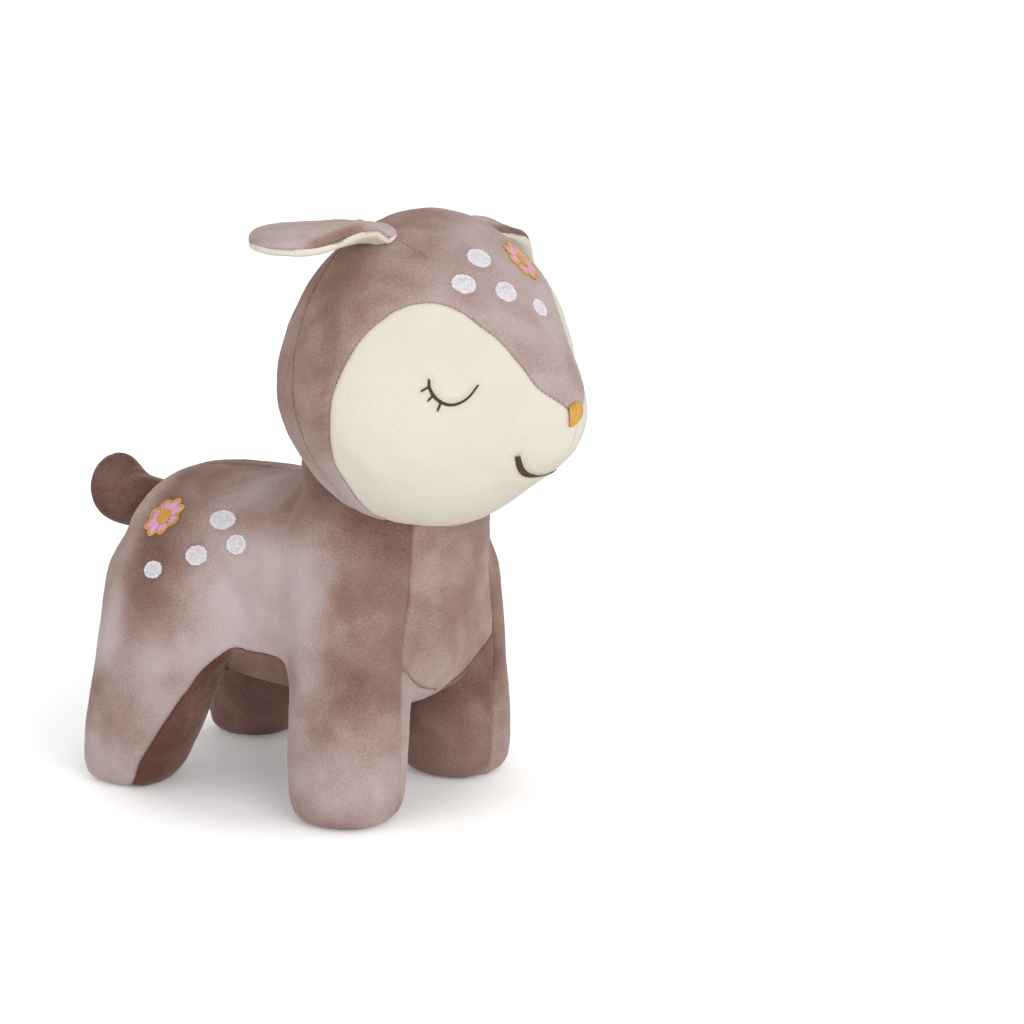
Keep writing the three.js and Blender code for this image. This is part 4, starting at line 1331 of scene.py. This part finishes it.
BODY_NODES = {
    SIDE_RIGHT: "side_panel_right", SIDE_LEFT: "side_panel_left", CHEST_BELLY: "chest_belly_panel",
    INNER_FRONT_RIGHT: "inner_leg_panel_front_right", INNER_FRONT_LEFT: "inner_leg_panel_front_left",
    INNER_HIND_RIGHT: "inner_leg_panel_hind_right", INNER_HIND_LEFT: "inner_leg_panel_hind_left"}
BODY_PIECES = {label: (node, TAUPE, "taupe_velour") for label, node in BODY_NODES.items()}

# The right flank's embroidery by length and height. Each spot has its half width and half height.
FLANK_SPOTS = [
    ((29.6, 131.1), 7.2, 5.0), ((18.0, 121.8), 5.6, 4.7), ((38.6, 114.7), 5.8, 4.8),
    ((59.2, 106.6), 5.1, 4.3)]
FLANK_FLOWER = {"place": (63.8, 128.3), "long": 12.0, "short": 8.6, "tilt": 53}


def flank_patch(place):
    """A drawing plane on the right flank."""
    side = Patch((-80, *place), (-1, 0, 0), body_distance)
    place, normal = side.drop(np.zeros((1, 2)), 0)
    return Patch(place[0], normal[0], body_distance)


def flank_embroidery():
    """All stitches of the flank. Returns where they press the cloth."""
    pressed = spot_pieces("flank", flank_patch, FLANK_SPOTS, 40)
    pressed += flower_pieces("flank", flank_patch, FLANK_FLOWER, 51)
    return np.vstack(pressed)


# How far the neck reaches into the head, and how high the flat soles and their edges reach
HEAD_OVERLAP = 2.5
SOLE_EDGE = 1.3


def standing_distance(points):
    """The body's distance, and none at the soles, which stay as they are."""
    return np.where(points[:, 2] > SOLE_EDGE, body_distance(points), 0.0)


def body_skin(voxel):
    """Points and faces of the body's form, open where the head covers the neck."""
    points, faces = grown_together([BARREL_LOFT, CHEST_LOFT, *LEG_LOFTS.values()], voxel)
    free = points[:, 2] > SOLE_EDGE
    points[free] = onto_surface(body_distance, points[free], 4, 3.0)
    edges = edges_of(faces)
    points = relax(points, edges, np.where(free, 0.4, 0.0), 2)
    points[free] = onto_surface(body_distance, points[free], 1, 1.0)
    hidden = head_distance(points[faces].mean(axis=1)) < -HEAD_OVERLAP
    faces = faces[~hidden]
    used, inverse = np.unique(faces, return_inverse=True)
    return points[used], inverse.reshape(-1, 3)


# How pale each inner panel is, partly the pile's lean and partly painted light and shade: the far front one
# darker with painted shade under the chest, the near hind one dark with painted shade between the legs
PANEL_TONE_AND_PAINTED_SHADE = {INNER_FRONT_RIGHT: 0.8, INNER_FRONT_LEFT: 0.3, INNER_HIND_RIGHT: 0.0, INNER_HIND_LEFT: 0.36}


def body_pile_and_painted_light(points, label):
    """The side panels' tone, partly the pile's lean and partly painted light and shade. It is pale on the
    flanks, feet and the back of the rump, where a painted sheen runs along the hind legs' rim, and darker on
    the shoulders and thighs, on the neck with painted shade under the head, and on the saddle and upper rump
    with painted shade where they face away from the lamp. On the far side the foreleg is darker still."""
    _, y, z = points.T
    if label in PANEL_TONE_AND_PAINTED_SHADE:
        return np.full(len(points), PANEL_TONE_AND_PAINTED_SHADE[label])
    if label == CHEST_BELLY:
        # Pale chest, and the belly behind it darker with painted shade under the body
        return lerp(0.68, 0.25, smooth_step(y, -52, -30))
    # Painted shade on the neck, under the head
    neck_painted_shade = smooth_step(z, 115, 160) * smooth_step(-y, -20, 25)
    low = 1 - smooth_step(z, 60, 96)
    # Painted shade on the upper rump, which faces away from the lamp
    rump_painted_shade = smooth_step(y, 16, 64) * (1 - low)
    thigh = smooth_step(y, 44, 72) * low * smooth_step(z, 12, 36)
    saddle = smooth_step(z, 118, 142) * (1 - rump_painted_shade) * (1 - neck_painted_shade)
    foreleg = smooth_step(-y, -20, 5) * low
    # A painted sheen along the back rim of the hind legs
    rim = smooth_step(y, 64, 80) * smooth_step(z, 45, 75)
    shoulder = smooth_step(-y, 26, 50) * smooth_step(z, 20, 80) * (1 - neck_painted_shade)
    flank = smooth_step(z, 50, 66) * smooth_step(-z, -116, -90)
    flank = flank * smooth_step(y, -24, 0) * smooth_step(-y, -52, -30)
    pale_with_painted_light = 0.94 - 0.76 * neck_painted_shade - 0.64 * rump_painted_shade - 0.3 * thigh - 0.14 * saddle - 0.16 * foreleg
    pale_with_painted_light += 0.5 * rim + 0.3 * flank - 0.44 * shoulder
    # The far side's foreleg gets more painted shade, under the chest
    return pale_with_painted_light - 0.18 * foreleg if label == SIDE_LEFT else pale_with_painted_light


def make_body(voxel):
    """The body's panels with the flank's embroidery."""
    points, faces = body_skin(voxel)
    panels = Panels(points, faces, body_labels(points), standing_distance)
    pressed = flank_embroidery()
    nap(panels, pressed, 13)
    press_cloth(panels, pressed)
    panels.shape(1.5, 3.0, 15)
    panels.points[:, 2] = np.maximum(panels.points[:, 2], 0.0)
    covers(panels, BODY_PIECES, body_pile_and_painted_light)
    return panels


# Seam stitches


# The distance from one lockstitch to the next, how deep a dart's fold lies under the head's form, and how far
# the threads stand out of a fold
SEAM_PITCH = 2.3
DART_SINK = 0.9
THREAD_LIFT = 0.12

# Length and thickness of the stitches of the cheeks' seams and of all others
CHEEK_STITCH = (0.9, 0.32)
SEAM_STITCH = (1.5, 0.45)


def seam_tracks(panels, wanted=None):
    """The seams between the wanted panels, as points in the fold with their normals."""
    normals = normals_of(panels.points, panels.faces)
    return [(panels.points[line], normals[line]) for line in panels.seam_lines(wanted)]


def dart_tracks():
    """The darts, as points in the fold with their normals."""
    tracks = []
    for line in dart_lines():
        up = slope(head_distance, line)
        tracks.append((line - up * DART_SINK, up))
    return tracks


def seam_stitches(name, tracks, stitch):
    """A row of lockstitches along each track, half sunk in the fold."""
    long, thick = stitch
    centres = []
    ways = []
    ups = []
    for track, up in tracks:
        length = length_along(track)
        for at in np.arange(SEAM_PITCH / 2, length[-1] - SEAM_PITCH / 2, SEAM_PITCH):
            places = at + (THREAD.levels - 0.5) * long
            rings = between(places, length, track)
            lift = between(places, length, up)
            centres.append(rings + lift * THREAD_LIFT)
            ways.append(np.gradient(rings, axis=0))
            ups.append(lift)
    count = (len(centres), len(THREAD.levels))
    points, faces, per = THREAD.lay(
        np.array(centres), np.array(ways), np.array(ups), np.full(count, thick), np.full(count, thick))
    piece = new_piece(name, points, faces, SEAM, "body")
    tones = np.random.RandomState(9).uniform(0.2, 0.8, count[0])
    set_values(piece, "shade", np.repeat(tones, per))


# Ears


EAR = {"length": 61.0, "half": 20.5, "thick": 5.4}

# The direction of the left ear's root from the head's centre, and how far the root stands off the head
EAR_ROOT = (98, 62.7)
EAR_STAND = 2.4

# How each ear is set on the head: angles in degrees, half widths and heights in millimetres
EAR_POSES = {
    "right": {
        "swing": 19.15, "lift": 0.06, "curl": 0.9, "twist": 5.4, "bend": -3.6, "bend_root": 0.6,
        "front_root": 15.0, "back_root": 19.0, "root_thick": 5.2, "seat": 3.0, "seat_share": 0.14},
    "left": {
        "swing": 3.2, "lift": -12.4, "curl": 37.9, "twist": -28.5, "bend": 5.3, "bend_root": 0.28,
        "front_root": 20.0, "back_root": 6.0, "root_thick": 3.8, "seat": -1.4, "seat_share": 0.31}}

# Where a pad begins and how long its rounded root is, as shares of the ear's length, where and over how much
# of it the front edge folds, its rings and sides, its least thickness and its unevenness
EAR_START = -0.07
EAR_ROUND = 0.13
FOLD_PLACE = 0.3
FOLD_REACH = 0.28
EAR_RINGS = 96
EAR_SIDES = 96
EAR_EDGE = 0.02
EAR_RIPPLES = [(0.22, 14), (0.07, 4)]


def ear_pivot(side):
    """The middle of an ear's root."""
    root = directions([EAR_ROOT])[0]
    reach = head_reach(root[None])[0] + EAR_STAND
    return HEAD_CENTRE + root * (side, 1, 1) * reach


def ear_turn(side, pose):
    """The ear's own axes in the deer's frame."""
    swing = Matrix.Rotation(side * math.radians(pose["swing"]), 3, "Z")
    lift = Matrix.Rotation(-side * math.radians(pose["lift"]), 3, "Y")
    return np.array(swing @ lift)


def ear_section(share, pose, top):
    """Half widths to the front and back, and pad thickness, at a share of the ear's length."""
    swell = float(smooth_step(share, 0, 0.55))
    towards_tip = max(0.0, (share - 0.5) / 0.5)
    tip = math.sqrt(max(0.0001, 1 - towards_tip**2.2))
    front = lerp(pose["front_root"], EAR["half"], swell) * tip
    back = lerp(pose["back_root"], EAR["half"], swell) * tip
    root_thick = pose["root_thick"] * (1.0 if top else 0.85)
    inset = 1 - min(1.0, (share - EAR_START) / EAR_ROUND)
    root = math.sqrt(1 - inset**2)
    thick = lerp(root_thick, EAR["thick"], swell) * math.sqrt(tip) * root
    return front * lerp(0.8, 1.0, root), back * lerp(0.9, 1.0, root), thick


def ear_relief(share, across, top):
    """A soft valley along the top of the ear, and a puckered root."""
    valley = -1.5 * math.exp(-((across - 2.0 - 5.0 * math.sin(3.0 * share)) / 5.5)**2) * (0.3 + share)
    pucker = 0.3 * math.cos(across * 0.8) * math.exp(-((share - 0.06) / 0.08)**2)
    return (valley if top else 0.5 * valley) + pucker


def ear_bend(share, across, pose):
    """How far the ear's front edge is folded up or down near its root."""
    reach = FOLD_REACH if share > FOLD_PLACE else pose["bend_root"]
    bell = math.exp(-((share - FOLD_PLACE) / reach)**2)
    return -pose["bend"] * bell * float(smooth_step(-across / EAR["half"], 0, 1))


def seated(points, middles, shares, pose):
    """Lowers the ear's root onto the head, so that its seam closes all along."""
    gap = np.maximum(head_distance(middles) - pose["seat"], 0)
    reach = 1 - smooth_step(shares, 0.0, pose["seat_share"])
    away = slope(head_distance, middles)
    return points - away * (gap * reach)[:, None]


def ear_pad(side, top, pose):
    """Points, middle plane, shares of the length and faces of one closed pad, from its root to the tip."""
    rings = []
    middles = []
    shares = []
    for i in range(EAR_RINGS):
        share = lerp(EAR_START, 1.0, math.sin(i / (EAR_RINGS - 1) * math.pi / 2))
        front, back, thick = ear_section(share, pose, top)
        turn = math.radians(pose["twist"]) * float(smooth_step(share, 0, 0.8))
        for j in range(EAR_SIDES):
            angle = 2 * math.pi * j / EAR_SIDES
            across = (back if math.cos(angle) > 0 else front) * math.cos(angle)
            full = max(0.0, math.sin(angle))
            height = full**0.45 * thick + EAR_EDGE
            height += ear_relief(share, across, top) * full**0.5 * min(1.0, 2.5 * (1 - share))
            height = max(height, EAR_EDGE) if top else -max(height, EAR_EDGE)
            drop = pose["curl"] * share * abs(share) - ear_bend(share, across, pose)
            x = side * share * EAR["length"]
            flat = (x, across * math.cos(turn), across * math.sin(turn) - drop)
            middles.append(flat)
            rings.append((x, flat[1] - height * math.sin(turn), flat[2] + height * math.cos(turn)))
            shares.append(share)
    points, middles = (with_middles(np.array(part), EAR_SIDES) for part in (rings, middles))
    return points, middles, np.array([*shares, EAR_START, 1.0]), tube_faces(EAR_RINGS, EAR_SIDES)


def make_ear(name, side):
    """An ear of two pads on each other, set on the head at its root."""
    pose = EAR_POSES[name]
    pivot = ear_pivot(side)
    turn = ear_turn(side, pose)
    layers = (("outer", True, TAUPE, "taupe_velour"), ("lining", False, CREAM, "cream_velour"))
    for layer, top, material, slot in layers:
        points, middles, shares, faces = ear_pad(side, top, pose)
        faces = outward_faces(points, faces)
        points = pushed(points, faces, uneven(points, EAR_RIPPLES, 61))
        points = seated(pivot + points @ turn.T, pivot + middles @ turn.T, shares, pose)
        node = f"ear_{layer}_{name}"
        piece = new_piece(f"{node}_pad", points, faces, material, None)
        if top:
            # The ear's top is pale, partly with a painted sheen, and darker along its front edge
            set_values(piece, "pile", 0.92 - 0.6 * smooth_step(-middles[:, 1] / EAR["half"], 0.72, 1.0))
        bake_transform(piece)
        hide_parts(node)


# Tail


TAIL = {"y": 105.5, "z": 129.0, "bulb": 17.0, "reach": 31.2}

# The tail's stations: share of its reach, then radius and rise as shares of the bulb
TAIL_SHARES = [
    (-0.3, 0.66, -0.41), (-0.12, 0.7, -0.41), (0, 0.73, -0.42), (0.2, 0.77, -0.4), (0.4, 0.87, -0.3),
    (0.62, 0.98, -0.14), (0.82, 0.86, -0.08), (0.95, 0.5, -0.06), (1, 0.02, -0.06)]

# The tuck on top where the tail is drawn in, and the cover's unevenness
TAIL_TUCK = (-6.5, 116.0, 137.5)
TAIL_RIPPLES = [(0.25, 12), (0.08, 4)]
TAIL_RINGS = 90
TAIL_SIDES = 120

# How far the tail's filling stays inside it
TAIL_INSET = 5.0


def tail_skin(inset=0.0):
    """Points and faces of the tail's bulb, or of what lies a little inside it."""
    table = smooth_table(TAIL_SHARES)
    angle = 2 * math.pi * np.arange(TAIL_SIDES) / TAIL_SIDES
    points = []
    for i in range(TAIL_RINGS):
        share = lerp(table[0, 0], 1.0, math.sin(i / (TAIL_RINGS - 1) * math.pi / 2))
        radius, rise = between(share, table[:, 0], table[:, 1:]) * TAIL["bulb"]
        size = max(0.2, radius - inset)
        back = np.full(TAIL_SIDES, TAIL["y"] + share * TAIL["reach"] - inset * share)
        up = TAIL["z"] + rise + size * np.sin(angle)
        points.append(np.column_stack([size * np.cos(angle), back, up]))
    points = with_middles(np.vstack(points), TAIL_SIDES)
    return points, outward_faces(points - points.mean(axis=0), tube_faces(TAIL_RINGS, TAIL_SIDES))


def tail_creases(points):
    """A seam over the tail's tip, a tuck on top where it is drawn in, and folds at the root."""
    offset = points - (0, TAIL["y"], TAIL["z"])
    seam = 1.1 * np.clip(1 - np.abs(offset[:, 0]) / 2.4, 0, 1)**2 * smooth_step(offset[:, 1], 14, 22)
    angle = np.arctan2(offset[:, 2] + 6, offset[:, 0])
    root = np.exp(-np.maximum(0, offset[:, 1] + 1) / 5.0)
    folds = 0.45 * np.cos(angle * 7 + 0.8 * np.sin(3 * angle)) * root
    beside = (points - TAIL_TUCK) / (4.2, 2.6, 4.5)
    gap = np.linalg.norm(beside, axis=1)
    round_it = np.arctan2(beside[:, 0], beside[:, 1])
    tuck = 2.6 * np.exp(-gap**2)
    tuck += 0.6 * np.cos(round_it * 5 + 1.0) * np.exp(-((gap - 1.8) / 0.9)**2)
    return folds - seam - tuck


def make_tail():
    """The tail's cover and filling."""
    points, faces = tail_skin()
    points = pushed(points, faces, tail_creases(points) + uneven(points, TAIL_RIPPLES, 71))
    cover = new_piece("tail_cover_skin", points, faces, TAUPE, None)
    # The tail's cover is dark all over, partly its pile and partly painted shade, as it faces away from the
    # lamp
    set_values(cover, "pile", np.full(len(points), 0.1))
    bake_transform(cover)
    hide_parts("tail_cover")
    points, faces = tail_skin(TAIL_INSET)
    filling = new_piece("tail_wadding", points, faces, FILL, None)
    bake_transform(filling)
    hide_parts("tail_stuffing")


# Stuffing


# How far the filling stays inside the cloth
WADDING_INSET = 3.5


def wadding(name, points, faces, node):
    """One filling, inside the form that the points give."""
    points = pushed(points, faces, -WADDING_INSET)
    piece = new_piece(name, points, faces, FILL, "body")
    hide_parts(node)


def make_wadding():
    """The filling of the torso, the head and each leg, seen only if a seam opens."""
    points, faces = grown_together([BARREL_LOFT, CHEST_LOFT], 5.0)
    visible = head_distance(points[faces].mean(axis=1)) > -HEAD_OVERLAP
    wadding("torso_wadding", points, faces[visible], "torso_stuffing")
    for leg, loft in LEG_LOFTS.items():
        points, faces = loft.mesh(5.0, 32)
        points[:, 2] = np.maximum(points[:, 2], 2.0)
        wadding(f"leg_wadding_{leg}", points, faces, f"leg_stuffing_{leg}")
    wadding("head_wadding", *head_ball(5), "head_stuffing")


# Camera, lights and floor


# The camera's place and lens in millimetres, and the way it looks
CAMERA_PLACE = (-1118.8, -811.4, 445.9)
CAMERA_WAY = (0.823, 0.5224, -0.2233)
LENS = 106.79

# The side of a soft box and the place that it faces, in metres
LAMP_SIZE = 1.6
LAMP_AIM = (0, 0, 0.12)


def placed(name, data, place, way):
    """An object at a place in metres that looks a way."""
    thing = new_object(name, data)
    thing.location = place
    thing.rotation_euler = way.to_track_quat("-Z", "Y").to_euler()
    return thing


def make_camera():
    """The camera, fitted to the photo."""
    camera = placed("camera", bpy.data.cameras.new("camera"), Vector(CAMERA_PLACE) * MM, Vector(CAMERA_WAY))
    camera.data.sensor_width = 36.0
    camera.data.lens = LENS
    camera.data.clip_start = 0.05
    camera.data.clip_end = 60.0
    bpy.context.scene.camera = camera


def area_lamp(name, place, power):
    """A soft box of that many watts, at a place in metres, that faces the deer."""
    lamp = bpy.data.lights.new(name, "AREA")
    lamp.shape = "RECTANGLE"
    lamp.size = LAMP_SIZE
    lamp.size_y = LAMP_SIZE
    lamp.energy = power
    placed(name, lamp, place, Vector(LAMP_AIM) - Vector(place))


def seen_directly(tree):
    """1 where the camera sees a surface, also in a reflection or through glass, and 0 for its light."""
    path = add_node(tree, "ShaderNodeLightPath").outputs
    seen = combined(tree, path["Is Camera Ray"], path["Is Glossy Ray"], "MAXIMUM")
    return combined(tree, seen, path["Is Transmission Ray"], "MAXIMUM")


# How bright the world lights the scene. The camera sees it pure white.
WORLD_LEVEL = 0.64


def make_world():
    """A white surround."""
    world = bpy.data.worlds.new("studio")
    bpy.context.scene.world = world
    world.use_nodes = True
    tree = world.node_tree
    inputs = {"Value": seen_directly(tree), "To Min": WORLD_LEVEL, "To Max": 1.0}
    level = add_node(tree, "ShaderNodeMapRange", inputs=inputs).outputs["Result"]
    set_inputs(tree, tree.nodes["Background"], {"Strength": level, "Color": colour(PURE_WHITE)})


# The deer's footprint on the floor in metres, and the floor's own glow where the camera sees it, which is
# painted light: little under the deer, which paints a soft shadow round it on top of its real shadow, and
# more beside and beyond it
PAINTED_SHADOW_FOOTPRINT = (0.085, 0.1, 1.0)
PAINTED_SHADOW_MIDDLE = (0.0, 0.02, 0.0)
NEAR_GLOW = 0.14
BESIDE_GLOW = 0.2
BEYOND_GLOW = 0.26


def make_floor():
    """A white floor that glows for the camera and fades into the surround, with less glow round the deer, a
    painted shadow.
    """
    material, tree, shader = new_material("white_floor")
    offset = vector_math(tree, "SUBTRACT", object_place(tree), PAINTED_SHADOW_MIDDLE)["Vector"]
    shares = vector_math(tree, "DIVIDE", offset, PAINTED_SHADOW_FOOTPRINT)["Vector"]
    away = vector_math(tree, "LENGTH", shares)["Value"]
    beside = spread(tree, away, 0.75, 1.25, 0.0, BESIDE_GLOW)
    beyond = spread(tree, away, 1.25, 6.0, 0.0, BEYOND_GLOW)
    painted_glow = combined(tree, combined(tree, beside, beyond), NEAR_GLOW)
    painted_glow = combined(tree, seen_directly(tree), painted_glow, "MULTIPLY")
    set_inputs(tree, shader, {
        "Base Color": colour(PURE_WHITE), "Roughness": 0.9, "Specular IOR Level": 0.0,
        "Emission Color": colour(PURE_WHITE), "Emission Strength": painted_glow})
    bpy.ops.object.select_all(action="DESELECT")
    bpy.ops.mesh.primitive_plane_add(size=60.0, location=(0, 0, 0))
    floor = bpy.context.object
    floor.name = "floor"
    floor.data.materials.append(material)


make_camera()
make_world()
make_floor()
area_lamp("key", (-1.4, -2.3, 1.35), 32.0)
area_lamp("fill", (-2.2, 1.2, 1.3), 3.0)

head_subdivisions = 7
body_voxel = 1.3
head = make_head(head_subdivisions)
body = make_body(body_voxel)
cheeks = {CHEEK_RIGHT, CHEEK_LEFT}
crown_seams = seam_tracks(head, lambda a, b: not {a, b} & cheeks)
cheek_seams = seam_tracks(head, lambda a, b: len({a, b} & cheeks) == 1)
seam_stitches("head_seam_stitches", crown_seams + dart_tracks(), SEAM_STITCH)
seam_stitches("cheek_seam_stitches", cheek_seams, CHEEK_STITCH)
seam_stitches("body_seam_stitches", seam_tracks(body), SEAM_STITCH)
for name, side in SIDES.items():
    make_ear(name, side)
make_tail()
make_wadding()

bpy.context.scene.view_settings.view_transform = "Standard"
